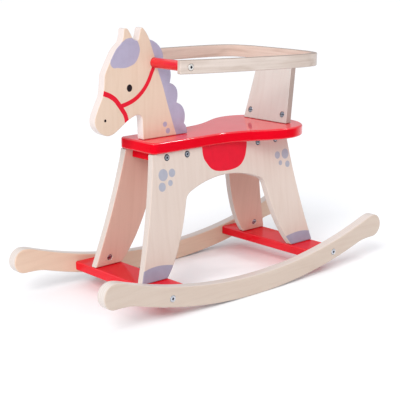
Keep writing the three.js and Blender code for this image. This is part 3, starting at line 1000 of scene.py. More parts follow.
@dataclass(frozen=True)
class Grain:
    """How wood grain is drawn. Waves are counted over a millimetre."""

    drift: Noise = Noise((0.006, 0.02, 0.02), 2.0)
    drift_share: float = 0.5
    streaks: Noise = Noise((0.007, 0.19, 0.19), 5.0, 0.6, 0.4)
    streak_share: float = 0.75
    fibres: Noise = Noise((0.05, 1.7, 1.7), 3.0, 0.6)
    fibre_share: float = 0.16
    ring_bend: Noise = Noise((0.005, 0.025, 0.02), 2.0, 0.5, 0.6)
    ring_bends: float = 26.0
    ring_turn: float = 0.35
    ring_share: float = 0.12
    tones: Point = (0.5, 1.2)
    fleck_waves: Triple = (0.16, 1.1, 1.1)
    fleck_size: Point = (0.26, 0.12)
    fleck_chance: float = 0.62
    fleck_share: float = 0.28
    fleck_shade: float = 0.8
    ply_waver: Noise = Noise((0.03, 0.03, 0.3), 2.0)
    ply_waver_share: float = 0.16
    ply_step: Point = (0.35, 0.65)
    glue: float = 0.09
    glue_share: float = 0.35
    pores: Noise = Noise((2.2, 2.2, 1.2), 2.0, 0.7)
    pore_step: Point = (0.2, 0.75)
    edge_fibre_share: float = 0.2
    ridge: float = 0.6
    fibre_height: float = 0.5
    streak_height: float = 0.4
    gloss_range: float = 0.14
    bump_depth: float = 0.06
    bump_strength: float = 0.55
    coat_step: Point = (0.4, 0.8)
    coat: float = 0.45
    board_face: Point = (0.55, 0.8)
    strip_face: Point = (0.45, 0.7)


@dataclass(frozen=True)
class PaintFilm:
    """How brushed paint lies on the wood."""

    brush: Noise = Noise((0.9, 0.9, 0.9), 2.0)
    ragged: float = 0.5
    cloud: Noise = Noise((0.05, 0.05, 0.05), 3.0)
    deep: float = 0.76
    shade_step: Point = (0.2, 0.9)
    gloss_range: float = 0.1
    grain_hidden: float = 0.6


GRAIN = Grain()
FILM = PaintFilm()


@dataclass(frozen=True)
class Wood:
    """Clear lacquered plywood or bent wood, with paint on its faces."""

    name: str
    pale: Colour
    dark: Colour
    edge_pale: Colour
    edge_dark: Colour
    thickness: float
    plies: int
    upright_grain: bool = False
    paints: tuple[Paint, ...] = ()
    roughness: float = 0.42
    # inner multiplies the wood on the unpainted side's faces: painted shade, with painted red light
    # where the red boards would throw it.
    inner: Colour = (1.0, 1.0, 1.0)

    def material(self, placing: Matrix, outward: Vector | None = None) -> bpy.types.Material:
        """Builds the finish for a flat board.

        Args:
            placing: The board's placing, in metres.
            outward: The way its painted face looks, or None when both faces are alike.

        Returns:
            The material.
        """
        sheet = NodeSheet(self.name)
        normal = sheet.object_normal()
        looks = abs(sheet.dot(normal, placing.to_3x3() @ UP))
        outer = 1.0 if outward is None else sheet.dot(normal, outward).above(0.0)
        face = looks.step(*GRAIN.board_face)
        return self._dress(sheet, sheet.on_board(placing), face, outer)

    def strip_material(self, attribute: str) -> bpy.types.Material:
        """Builds the finish for a bent strip, whose own attribute gives the place along it.

        Args:
            attribute: Its name: length along the strip, height and depth in millimetres.

        Returns:
            The material.
        """
        sheet = NodeSheet(self.name)
        marks = sheet.tree.nodes.new("ShaderNodeAttribute")
        marks.attribute_name = attribute
        place = marks.outputs["Vector"]
        looks = abs(sheet.dot(sheet.object_normal(), UP))
        face = 1.0 - looks.step(*GRAIN.strip_face)
        outer = sheet.math("LESS_THAN", sheet.parts(place)[2], self.thickness / 2)
        return self._dress(sheet, place, face, outer)

    def _dress(
        self, sheet: NodeSheet, place: Socket, face: Value, outer: Number
    ) -> bpy.types.Material:
        """Builds the wood, its plies, paint, lacquer and bumps.

        Args:
            sheet: The material's nodes.
            place: The place on the board, in millimetres.
            face: 1 on the board's faces and 0 on its edges.
            outer: 1 on the painted side and 0 on the other side, whose wood takes the painted shade
                tint.

        Returns:
            The material.
        """
        u, v, w = sheet.parts(place)
        lie = sheet.scaled(place, UNSCALED, math.pi / 2 if self.upright_grain else 0.0)
        drift = sheet.noise(lie, GRAIN.drift)
        streaks = sheet.noise(lie, GRAIN.streaks)
        fibres = sheet.noise(lie, GRAIN.fibres)
        tone = streaks * GRAIN.streak_share + drift * GRAIN.drift_share
        tone = tone + self._rings(sheet, lie) * GRAIN.ring_share + fibres * GRAIN.fibre_share
        wood = sheet.blend(tone.step(*GRAIN.tones), self.pale, self.dark)
        fleck = tuple(GRAIN.fleck_shade * channel for channel in self.dark)
        wood = sheet.blend(self._flecks(sheet, lie) * GRAIN.fleck_share, wood, fleck)
        # Painted shade and painted red bounce light: the inner faces' wood times the inner tint.
        inner_shaded_wood = sheet.blend(1.0, wood, self.inner, "MULTIPLY")
        edge, ridges = self._edge(sheet, lie, w, fibres)
        colour = sheet.blend(face, edge, sheet.blend(outer, inner_shaded_wood, wood))
        gloss = fibres * GRAIN.gloss_range + (self.roughness - GRAIN.gloss_range / 2)
        height = fibres * GRAIN.fibre_height + streaks * GRAIN.streak_height
        height = height + ridges * (1.0 - face)
        if self.paints:
            colour, gloss, height = self._painted(
                sheet, (u, v), face * outer, (colour, gloss, height)
            )
        return sheet.surface(
            Base_Color=colour,
            Roughness=gloss,
            Normal=sheet.bump(height, GRAIN.bump_depth, GRAIN.bump_strength),
            Coat_Weight=sheet.glance().step(*GRAIN.coat_step) * GRAIN.coat,
            Coat_Roughness=0.2,
            Specular_IOR_Level=0.15,
        )

    def _rings(self, sheet: NodeSheet, lie: Socket) -> Value:
        """The slow wavy lines of the growth rings.

        Args:
            sheet: The material's nodes.
            lie: The place along the grain.

        Returns:
            The rings, from 0 to 1.
        """
        bend = sheet.noise(lie, GRAIN.ring_bend) * GRAIN.ring_bends
        phase = bend + sheet.parts(lie)[1] * GRAIN.ring_turn
        wave = sheet.math("SINE", phase) * 0.5 + 0.5
        return sheet.math("POWER", wave, 3.0)

    def _flecks(self, sheet: NodeSheet, lie: Socket) -> Value:
        """The short dark flecks of beech.

        Args:
            sheet: The material's nodes.
            lie: The place along the grain.

        Returns:
            The flecks, from 0 to 1.
        """
        spread = sheet.scaled(lie, GRAIN.fleck_waves)
        cells = sheet.node("ShaderNodeTexVoronoi", Vector=spread, Scale=1.0)
        near = Value(sheet, cells.outputs["Distance"]).step(*GRAIN.fleck_size)
        chance = sheet.node("ShaderNodeSeparateColor", Color=cells.outputs["Color"])
        return near * Value(sheet, chance.outputs[0]).above(GRAIN.fleck_chance)

    def _edge(
        self, sheet: NodeSheet, lie: Socket, w: Value, fibres: Value
    ) -> tuple[Socket, Value]:
        """The plies on a board's edges.

        Args:
            sheet: The material's nodes.
            lie: The place along the grain.
            w: The place through the thickness.
            fibres: The fine grain.

        Returns:
            The colour, and ridges from 0 to 1.
        """
        waver = sheet.noise(lie, GRAIN.ply_waver) * GRAIN.ply_waver_share
        layer = waver + w * (self.plies / self.thickness)
        ply = sheet.math("PINGPONG", layer, 1.0).step(*GRAIN.ply_step)
        glue = 1.0 - sheet.math("FRACT", layer).step(0.0, GRAIN.glue)
        pores = sheet.noise(lie, GRAIN.pores)
        share = ply * pores.step(*GRAIN.pore_step) + glue * GRAIN.glue_share
        share = sheet.math("MULTIPLY_ADD", fibres, GRAIN.edge_fibre_share, share, clamp=True)
        return sheet.blend(share, self.edge_pale, self.edge_dark), ply * GRAIN.ridge

    def _painted(
        self, sheet: NodeSheet, at: tuple[Value, Value], face: Value, bare: Look
    ) -> Look:
        """Lays the paints over the wood.

        Args:
            sheet: The material's nodes.
            at: The place on the board's face.
            face: 1 on the face that is painted.
            bare: The bare wood's colour, roughness and height.

        Returns:
            The colour, roughness and height with the paint on.
        """
        u, v = at
        colour, gloss, height = bare
        spread = sheet.node("ShaderNodeCombineXYZ", X=u, Y=v).outputs[0]
        brush = sheet.noise(spread, FILM.brush)
        ragged = brush * FILM.ragged - FILM.ragged / 2
        cloud = sheet.noise(spread, FILM.cloud)
        for paint in self.paints:
            cover = paint.cover(sheet, u, v, ragged) * face
            deep = tuple(FILM.deep * channel for channel in paint.colour)
            shade = height * 0.5 + cloud * 0.5
            film = sheet.blend(shade.step(*FILM.shade_step), paint.colour, deep)
            colour = sheet.blend(cover, colour, film)
            matt = brush * FILM.gloss_range + (paint.roughness - FILM.gloss_range / 2)
            gloss = gloss * (1.0 - cover) + matt * cover
            height = height * (1.0 - cover * FILM.grain_hidden) + cover
        return colour, gloss, height


@dataclass(frozen=True)
class GlossFilm:
    """How gloss paint lies on a board. Waves are counted over a millimetre."""

    grain: Noise = Noise((0.02, 0.5, 0.5), 4.0, 0.6, 0.3)
    cloud: Noise = Noise((0.02, 0.02, 0.02), 3.0)
    peel: Noise = Noise((0.35, 0.35, 0.35), 2.0)
    specks: Noise = Noise((1.6, 1.6, 1.6), 2.0, 0.5)
    arris_tilt: float = 0.6
    arris_step: Point = (0.34, 0.1)
    arris_shine: float = 0.9
    shade_step: Point = (0.3, 0.75)
    flat_step: Point = (0.85, 0.97)
    speck_step: Point = (0.42, 0.7)
    wear: float = 0.55
    roughness: float = 0.32
    wear_roughness: float = 0.15
    cloud_roughness: float = 0.12
    peel_height: float = 0.6
    grain_height: float = 0.4
    glance_step: Point = (0.36, 0.7)


LACQUER = GlossFilm()


@dataclass(frozen=True)
class Gloss:
    """Gloss paint over wood, with a clear coat that mirrors the room."""

    name: str
    colour: Colour
    deep: Colour
    worn: Colour
    shine: float = 1.0
    least: float = 0.0
    # flat, when given, is a brighter red on the flat top and bottom faces: painted light for the
    # sheen on the top.
    flat: Colour | None = None

    def material(self, placing: Matrix, upright_grain: bool = False) -> bpy.types.Material:
        """Builds the finish.

        Args:
            placing: The board's placing.
            upright_grain: Whether the wood under the paint runs up the board.

        Returns:
            The material.
        """
        sheet = NodeSheet(self.name)
        place = sheet.on_board(placing)
        lie = sheet.scaled(place, UNSCALED, math.pi / 2 if upright_grain else 0.0)
        grain, cloud = sheet.noise(lie, LACQUER.grain), sheet.noise(place, LACQUER.cloud)
        peel, specks = sheet.noise(place, LACQUER.peel), sheet.noise(place, LACQUER.specks)
        looks = abs(sheet.dot(sheet.object_normal(), placing.to_3x3() @ UP))
        arris = abs(looks - LACQUER.arris_tilt).step(*LACQUER.arris_step)
        shade = grain * 0.5 + cloud * 0.5
        body = sheet.blend(shade.step(*LACQUER.shade_step), self.colour, self.deep)
        # Painted light: the flat faces take the brighter red.
        if self.flat:
            body = sheet.blend(looks.step(*LACQUER.flat_step), body, self.flat)
        rub = arris * specks.step(*LACQUER.speck_step)
        dull = rub * LACQUER.wear_roughness + LACQUER.roughness
        height = peel * LACQUER.peel_height + grain * LACQUER.grain_height
        mirror = sheet.glance().step(*LACQUER.glance_step) * self.shine
        mirror = mirror.or_more(arris * LACQUER.arris_shine)
        return sheet.surface(
            Base_Color=sheet.blend(rub * LACQUER.wear, body, self.worn),
            Roughness=dull + cloud * LACQUER.cloud_roughness,
            Normal=sheet.bump(height, 0.05, 0.5),
            Coat_Normal=sheet.bump(peel, 0.02, 0.35),
            Coat_Weight=mirror.or_more(self.least),
            Coat_Roughness=0.06,
            Coat_IOR=2.0,
            Specular_IOR_Level=0.03,
        )


@dataclass(frozen=True)
class Metal:
    """Zinc plated steel. Waves are counted over a metre."""

    name: str
    bright: Colour
    dull: Colour
    roughness: float
    cloud: Noise = Noise((420, 420, 420), 3.0)
    scratches: Noise = Noise((300, 5200, 2600), 3.0, 0.7)
    shade_step: Point = (0.3, 0.75)
    gloss_range: float = 0.2

    def material(self) -> bpy.types.Material:
        """Builds the finish.

        Returns:
            The material.
        """
        sheet = NodeSheet(self.name)
        place = sheet.object_place()
        share = sheet.noise(place, self.scratches) * 0.5 + sheet.noise(place, self.cloud) * 0.5
        return sheet.surface(
            Base_Color=sheet.blend(share.step(*self.shade_step), self.bright, self.dull),
            Roughness=share * self.gloss_range + (self.roughness - self.gloss_range / 2),
            Metallic=1.0,
            Normal=sheet.bump(share, 0.02, 0.4),
        )


LILAC = linear(177, 170, 194)
SPOT_LILAC = linear(174, 175, 188)
HOOF_LILAC = linear(165, 162, 183)
RED = (0.74, 0.001, 0.014)
BRIDLE_RED = (0.75, 0.006, 0.028)
RED_DEEP = (0.66, 0.001, 0.010)
RED_WORN = (0.82, 0.03, 0.045)
# A brighter red for the seat's flat faces: painted light for the sheen on its top.
SEAT_LIT_TOP_RED = (0.90, 0.008, 0.03)
EYE_BLACK = (0.010, 0.004, 0.008)
EDGE_PALE = (0.65, 0.58, 0.54)
EDGE_DARK = (0.58, 0.49, 0.44)

RED_GLOSS = Gloss("red_gloss", RED, RED_DEEP, RED_WORN)
RED_SATIN = Gloss("red_satin", RED, RED_DEEP, RED_WORN, shine=0.4, least=0.28)
RED_BAR = Gloss("red_bar", RED, RED_DEEP, RED_WORN, shine=0.9, least=0.6)
ZINC = Metal("zinc", (0.70, 0.73, 0.78), (0.45, 0.48, 0.54), 0.28)
# A dark copy of zinc for sockets, slots and screw rims: painted shade.
SHADE_ZINC = Metal("dark_zinc", (0.16, 0.17, 0.20), (0.07, 0.08, 0.10), 0.36)
PALE_ZINC = Metal("pale_zinc", (0.88, 0.86, 0.83), (0.74, 0.72, 0.69), 0.48)
NUT_STEEL = Metal("nut_steel", (0.50, 0.54, 0.62), (0.28, 0.31, 0.37), 0.30)


# ---------------------------------------------------------------------------------------------
# Holes and pieces

SMOOTH_BELOW = math.radians(34)
HEAD_RADIUS = 5.0
HEAD_HEIGHT = 3.0
SHANK_RADIUS = 3.0
NUT_RADIUS = 4.7
PIN_RADII = {"rocker_pin": 4.0, "arm_pin": 3.0}
PIN_STEPS = 20
HOLE_EASE = 0.4


@dataclass(frozen=True)
class Mouth:
    """The eased mouth of a hole. Depths are below the surface."""

    reach: float
    wider: float
    top: float
    bottom: float

    def corners(self, radius: float) -> list[Point]:
        """The profile down to where the hole has its own radius."""
        out = radius + self.wider
        return [(0, -self.reach), (out, -self.reach), (out, self.top), (radius, self.bottom)]


SCREW_MOUTH = Mouth(4.0, 0.5, 0.15, 0.75)
NUT_MOUTH = Mouth(6.0, 0.4, -0.6, -0.1)


def across(side: Side) -> Vector:
    """The way in from a side of the horse."""
    return Vector((0, -side.value, 0))


def kind_of(node: str) -> str:
    """The first two words of a fixing's CAD node."""
    return "_".join(node.split("_")[:2])


def runs(node: str) -> Vector:
    """The way that a screw, nut or pin runs.

    Args:
        node: Its CAD node.

    Returns:
        From its head or open end to its tip.
    """
    side = Side.RIGHT if node.endswith(Side.RIGHT.word) else Side.LEFT
    ways = {
        "rocker_bolt": across(side),
        "rocker_pin": across(side),
        "rocker_nut": UP,
        "leg_bolt": panel_up(side),
        "leg_nut": panel_out(side),
        "panel_screw": -panel_out(side),
        "seat_screw": UP,
        "back_bolt": BACK_UP,
        "back_nut": -BACK_FRONT,
        "arm_bolt": across(side),
        "arm_pin": BACK_UP,
        "head_bolt": UP,
        "head_nut": LEFTWARD,
    }
    return ways[kind_of(node)]


def bore(node: str) -> Mesh:
    """The hole that a screw, nut or pin needs.

    Args:
        node: Its CAD node.

    Returns:
        The cutter.
    """
    start, length = axis_of(node, runs(node))
    tip, steps = length + GAP, LATHE_STEPS
    if "_nut_" in node:
        wide = NUT_RADIUS + HOLE_EASE
        profile = NUT_MOUTH.corners(wide)
    elif "_pin_" in node:
        wide, steps = PIN_RADII[kind_of(node)] + HOLE_EASE, PIN_STEPS
        profile = [(0, -GAP), (wide, -GAP)]
    else:
        head, bottom = HEAD_RADIUS + HOLE_EASE, HEAD_HEIGHT + GAP
        wide = SHANK_RADIUS + HOLE_EASE
        profile = [*SCREW_MOUTH.corners(head), (head, bottom), (wide, bottom)]
    return placed(lathe([*profile, (wide, tip), (0, tip)], steps), aim(start, runs(node)))


def corner_fixings(kinds: Sequence[str], end: End, side: Side) -> list[str]:
    """The CAD nodes of one corner's fixings, of each kind in turn."""
    return [f"{kind}_{end.word}_{side.word}" for kind in kinds]


def panel_screws(end: End, side: Side) -> list[str]:
    """The CAD nodes of the two screws that hold one end of a side panel."""
    return [f"panel_screw_{end.word}_{place}_{side.word}" for place in ("outer", "inner")]


def add_piece(
    bm: Mesh, node: str, material: bpy.types.Material
) -> bpy.types.Object:
    """Puts a finished mesh on the horse, in front of its CAD node.

    Args:
        bm: The mesh, in its place on the horse in millimetres.
        node: The CAD node that it replaces.
        material: What it is dressed in.

    Returns:
        The piece.
    """
    placed(bm, Matrix.Scale(MM, 4))
    face_outward(bm)
    for face in bm.faces:
        face.smooth = True
    for edge in bm.edges:
        edge.smooth = len(edge.link_faces) == 2 and edge.calc_face_angle() < SMOOTH_BELOW
    piece = as_object(bm, f"{node}_finished")
    piece.data.materials.append(material)
    even = piece.modifiers.new("even_normals", "WEIGHTED_NORMAL")
    even.keep_sharp = True
    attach(piece, BODY)
    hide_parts(node)
    log.info("%s: %d faces, %s", piece.name, len(piece.data.polygons), material.name)
    return piece


def add_bored(
    bm: Mesh, fixings: Sequence[str], node: str, material: bpy.types.Material
) -> bpy.types.Object:
    """Bores a mesh for its fixings and adds it as a piece.

    Args:
        bm: The mesh, in its place on the horse in millimetres.
        fixings: The CAD nodes of its screws, nuts and pins.
        node, material: As add_piece takes them.

    Returns:
        The piece.
    """
    return add_piece(bored(bm, [bore(name) for name in fixings]), node, material)


@dataclass
class Rockers:
    """The two curved runners."""

    radius: float = 850.0
    depth: float = 33.0
    flat: float = 16.0
    bend_x: float = 250.0
    top_x: float = 262.0
    toe: Point = (290.5, 61.5)
    toe_radius: float = 20.0
    under_curve: Triple = (12.0, 3.6, 14.0)
    top_curve: Point = (9.0, 2.9)
    thickness: float = 18.0
    edge: float = 2.6
    wood: Wood = Wood(
        "rocker_ply",
        (0.615, 0.515, 0.44),
        (0.56, 0.45, 0.375),
        (0.70, 0.64, 0.61),
        (0.62, 0.54, 0.49),
        thickness=18.0,
        plies=9,
        # The inner faces are painted warmer and lighter: painted red light thrown from the boards.
        inner=(1.25, 1.13, 1.03),
    )

    def rise(self, x: float) -> float:
        """How far the underside's arc has risen at x."""
        return self.radius - math.sqrt(self.radius**2 - x**2)

    def outline(self) -> list[Point]:
        """Draws the runner, resting on its flat.

        Returns:
            The outline.
        """
        down = -math.pi / 2
        toe_x, toe_z = self.toe
        low, high = toe_z - self.toe_radius, toe_z + self.toe_radius
        bend_z, top_z = self.rise(self.bend_x), self.rise(self.top_x) + self.depth
        out_x, out_z, end_x = self.under_curve
        over_x, over_z = self.top_curve
        flat_turn, turn, top_turn = (
            math.asin(x / self.radius) for x in (self.flat, self.bend_x, self.top_x)
        )
        top = (self.top_x, top_z)
        half = Outline((-self.flat, self.rise(self.flat)))
        half.line((self.flat, self.rise(self.flat)))
        half.arc((0, self.radius), self.radius, down + flat_turn, down + turn, 40)
        half.cubic((self.bend_x + out_x, bend_z + out_z), (toe_x - end_x, low), (toe_x, low), 10)
        half.arc(self.toe, self.toe_radius, down, -down, 24)
        half.cubic((toe_x - over_x, high), (self.top_x + over_x, top_z + over_z), top, 10)
        half.arc((0, self.radius + self.depth), self.radius, down + top_turn, down, 40)
        return [(x, z - self.rise(self.flat)) for x, z in half.mirror(-1, 1, 2).closed()]

    def build(self) -> None:
        """Makes both runners, with their bolt and pin holes."""
        for side in Side:
            node = f"rocker_{side.word}"
            placing = standing(span(node, LEFTWARD)[1])
            bm = plate(self.outline(), 0, self.thickness)
            round_edges(bm, self.edge, 4)
            kinds = ("rocker_bolt", "rocker_pin")
            fixings = [name for end in End for name in corner_fixings(kinds, end, side)]
            material = self.wood.material(in_metres(placing), -across(side))
            add_bored(placed(bm, placing), fixings, node, material)


@dataclass
class FootBoards:
    """The two red boards that join the runners and carry the legs."""

    edge: float = 2.5
    long_edge: float = 100.0
    paint: Gloss = RED_SATIN

    def build(self) -> None:
        """Makes both boards, rounded along their length, with their holes."""
        kinds = ("rocker_bolt", "rocker_pin", "rocker_nut", "leg_bolt")
        for end in End:
            node = f"{end.word}_foot_board"
            low, high = (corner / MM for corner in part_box(node))
            outline = [(low.x, low.y), (high.x, low.y), (high.x, high.y), (low.x, high.y)]
            bm = plate(outline, low.z, high.z)
            reaches = {edge: edge.verts[0].co - edge.verts[1].co for edge in bm.edges}
            long = [edge for edge, reach in reaches.items() if abs(reach.y) > self.long_edge]
            round_edges(bm, self.edge, 5, only=long)
            fixings = [name for side in Side for name in corner_fixings(kinds, end, side)]
            material = self.paint.material(Matrix.Identity(4), upright_grain=True)
            add_bored(bm, fixings, node, material)


SADDLE = Patch(
    (-3.0, 232.0),
    (
        (47, 232), (47, 225), (45, 216), (39, 207), (32, 199), (23, 194), (15, 192), (1, 190.6),
        (-12, 190.6), (-24, 192), (-33, 195), (-41, 201), (-46, 208), (-50, 218), (-53, 231),
        (-45, 262), (-3, 282), (39, 262),
    ),
)
HOOVES = (
    Dip(((200, 60), (187, 62), (175, 64.5), (159, 65.3), (145, 64), (126, 60), (118, 57))),
    Dip(((-118, 56), (-129, 59), (-144, 61), (-165, 62), (-191, 58), (-202, 55))),
)
PANEL_SPOTS = (
    (132, 202, 9.3),
    (114, 203, 6.6),
    (136, 184, 7.0),
    (119, 188, 4.7),
    (-123, 200, 6.2),
    (-142, 200, 8.5),
    (-146, 182, 5.5),
    (-129, 186, 4.2),
)


@dataclass
class SidePanels:
    """The two splayed body boards, each with two legs and an arch."""

    top_x: float = 149.0
    top_z: float = 234.6
    leg_outer_x: float = 194.0
    leg_inner_x: float = 142.0
    outer_curve: Point = (163.0, 140.0)
    inner_curve: Point = (109.0, 77.0)
    arch_corner: Point = (87.0, 164.0)
    arch_top_z: float = 184.5
    arch_round: float = 9.0
    arch_flare: float = 2.0
    board_top_z: float = 41.5
    thickness: float = 12.0
    overrun: float = 4.0
    edge: float = 2.0
    wood: Wood = Wood(
        "panel_ply",
        (0.675, 0.57, 0.51),
        (0.625, 0.51, 0.445),
        EDGE_PALE,
        EDGE_DARK,
        thickness=12.0,
        plies=7,
        upright_grain=True,
        # The inner faces are painted darker and redder: painted shade with painted red bounce
        # light.
        inner=(1.075, 0.86, 0.80),
    )

    def up_board(self, z: float) -> float:
        """A height above the floor as a place up the board, from its top."""
        return (z - self.top_z) / math.cos(PANEL_SPLAY)

    def at(self, x: float, z: float) -> Point:
        """A point of the board's plane."""
        return x, self.up_board(z)

    def outline(self) -> list[Point]:
        """Draws the board, with spare height at the top and at the feet.

        Returns:
            The outline.
        """
        high, low = self.top_z + self.overrun, self.board_top_z - self.overrun
        corner_x, corner_z = self.arch_corner
        corner_v, top_v = self.up_board(corner_z), self.up_board(self.arch_top_z)
        rise = top_v - corner_v
        radius = (corner_x**2 + rise**2) / (2 * rise)
        turn = math.asin((corner_x - self.arch_round) / radius)
        end = (-radius * math.sin(turn), top_v - radius * (1 - math.cos(turn)))
        side = (-corner_x - self.arch_flare, corner_v - self.arch_round)
        outer, inner, foot = -self.leg_outer_x, -self.leg_inner_x, self.board_top_z
        half = Outline(self.at(-self.top_x, high))
        half.line(self.at(-self.top_x, self.top_z))
        half.quad(self.at(-self.outer_curve[0], self.outer_curve[1]), self.at(outer, foot), 16)
        half.line(self.at(outer, low), self.at(inner, low), self.at(inner, foot))
        half.quad(self.at(-self.inner_curve[0], self.inner_curve[1]), side, 16)
        half.quad((-corner_x, corner_v), end, 6)
        half.arc((0, top_v - radius), radius, math.pi / 2 + turn, math.pi / 2, 18)
        return half.mirror(-1, 1).closed()

    def painted(self) -> Wood:
        """Paints the saddle, hooves and spots, whose heights become places up the board.

        Returns:
            The painted wood.
        """
        lean = math.cos(PANEL_SPLAY)
        spots = tuple(Spot(x, self.up_board(z), size, size / lean) for x, z, size in PANEL_SPOTS)
        hooves = tuple(Dip(tuple(self.at(*point) for point in hoof.line)) for hoof in HOOVES)
        saddle = Patch(self.at(*SADDLE.middle), tuple(self.at(*point) for point in SADDLE.edge))
        paints = (
            Paint(SPOT_LILAC, 0.5, spots),
            Paint(HOOF_LILAC, 0.5, hooves),
            Paint(BRIDLE_RED, 0.36, (saddle,)),
        )
        return replace(self.wood, paints=paints)

    def placing(self, side: Side) -> Matrix:
        """Places a board with its outer face on the CAD node's.

        Args:
            side: The horse's side.

        Returns:
            From the board's plane to the horse.
        """
        up = panel_up(side)
        turned_board = Matrix((FORWARD, up, FORWARD.cross(up))).transposed().to_4x4()
        face = panel_out(side) * span(f"side_panel_{side.word}", panel_out(side))[1]
        origin = face + up * (self.top_z - face.z) / up.z
        return Matrix.Translation(origin) @ turned_board

    def build(self) -> None:
        """Makes both boards, with their screw, bolt and nut holes."""
        wood = self.painted()
        for side in Side:
            node = f"side_panel_{side.word}"
            placing = self.placing(side)
            faces = (0, self.thickness) if side is Side.LEFT else (-self.thickness, 0)
            bm = placed(plate(self.outline(), *faces), placing)
            low, high = span(node, UP)
            trim(bm, UP * high, UP)
            trim(bm, UP * low, -UP)
            round_edges(bm, self.edge)
            fixings = []
            for end in End:
                fixings += panel_screws(end, side)
                fixings += corner_fixings(("leg_nut", "leg_bolt"), end, side)
            material = wood.material(in_metres(placing), panel_out(side))
            add_bored(bm, fixings, node, material)


@dataclass
class SeatRails:
    """The two red rails that join the side panels under the seat."""

    edge: float = 1.0
    paint: Gloss = RED_GLOSS

    def build(self) -> None:
        """Makes both rails, with ends cut to the splay of the panels."""
        for end in End:
            node = f"{end.word}_seat_cross_rail"
            low, high = (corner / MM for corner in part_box(node))
            shrink = math.tan(PANEL_SPLAY) * (high.z - low.z)
            foot = [(low.y, low.z), (high.y, low.z)]
            bm = plate([*foot, (high.y - shrink, high.z), (low.y + shrink, high.z)], low.x, high.x)
            placed(bm, TO_LENGTH)
            round_edges(bm, self.edge)
            fixings = []
            for side in Side:
                fixings += panel_screws(end, side)
                fixings += corner_fixings(("seat_screw",), end, side)
            material = self.paint.material(Matrix.Identity(4), upright_grain=True)
            add_bored(bm, fixings, node, material)


@dataclass
class Seat:
    """The gloss red seat, narrow in front and wide behind."""

    front_x: float = 150.0
    rear_x: float = -182.0
    front_half: float = 43.5
    rear_half: float = 83.0
    corner: float = 10.0
    waist_x: float = 20.0
    flare_x: Point = (-50.0, -70.0)
    wide_x: float = -115.0
    rear_curve: Point = (-157.0, 53.0)
    edge: float = 3.5
    # The seat's flat faces take the brighter red, painted light.
    paint: Gloss = replace(RED_GLOSS, name="seat_gloss", flat=SEAT_LIT_TOP_RED)

    def outline(self) -> list[Point]:
        """Draws the seat from above.

        Returns:
            The outline.
        """
        narrow, wide = self.front_half, self.rear_half
        corner_x, corner_y = self.front_x - self.corner, narrow - self.corner
        flare_start, flare_end = self.flare_x
        rear_x, rear_y = self.rear_curve
        half = Outline((self.front_x, -corner_y)).line((self.front_x, corner_y))
        half.arc((corner_x, corner_y), self.corner, 0, math.pi / 2, 8)
        half.line((self.waist_x, narrow))
        half.cubic((flare_start, narrow), (flare_end, wide), (self.wide_x, wide), 28)
        half.cubic((rear_x, wide), (self.rear_x, rear_y), (self.rear_x, 0), 28)
        return half.mirror(1, -1, 2).closed()

    def build(self) -> None:
        """Makes the seat, with the sunk bolt holes in its underside."""
        bm = plate(self.outline(), *span("seat", UP))
        round_edges(bm, self.edge, 5)
        fixings = [f"head_bolt_{end.word}" for end in End]
        for side in Side:
            fixings.append(f"back_bolt_{side.word}")
            fixings += [f"seat_screw_{end.word}_{side.word}" for end in End]
        material = self.paint.material(Matrix.Identity(4))
        add_bored(bm, fixings, "seat", material)


FORELOCK = Patch(
    (175.0, 390.0),
    (
        (166, 411), (185, 402), (198, 386), (202, 378), (201, 372), (188, 368), (177, 367),
        (165, 369), (156, 373), (149, 382), (146, 392), (148, 401), (152, 407.5), (158, 410.5),
    ),
)
MANE_LINE = Behind(
    (
        (73, 253), (78, 266), (85, 286), (92, 306), (101, 334), (109, 355), (117, 380),
        (120, 388), (127.5, 408),
    )
)
NECK_SPOTS = (Spot(97, 273, 4.2, 4.2), Spot(91, 262, 4.4, 4.4))
NOSEBAND = Strap(
    (222.0, 285.0),
    138.0,
    (
        (222, 335), (216, 332), (204, 327), (195, 321), (188, 313), (182, 305), (176, 296),
        (173, 285), (172, 274),
    ),
    7.8,
)
CHEEK_STRAP = Strap(
    (185.0, 380.0),
    229.0,
    (
        (186, 309), (183, 310), (170, 313), (157, 318), (145, 326), (136, 335), (129, 345),
        (124, 355), (120, 363), (118.5, 371),
    ),
    6.9,
)
EYE = Spot(167, 336, 5.2, 5.7)
NOSTRIL = Spot(214, 291, 2.1, 2.3)


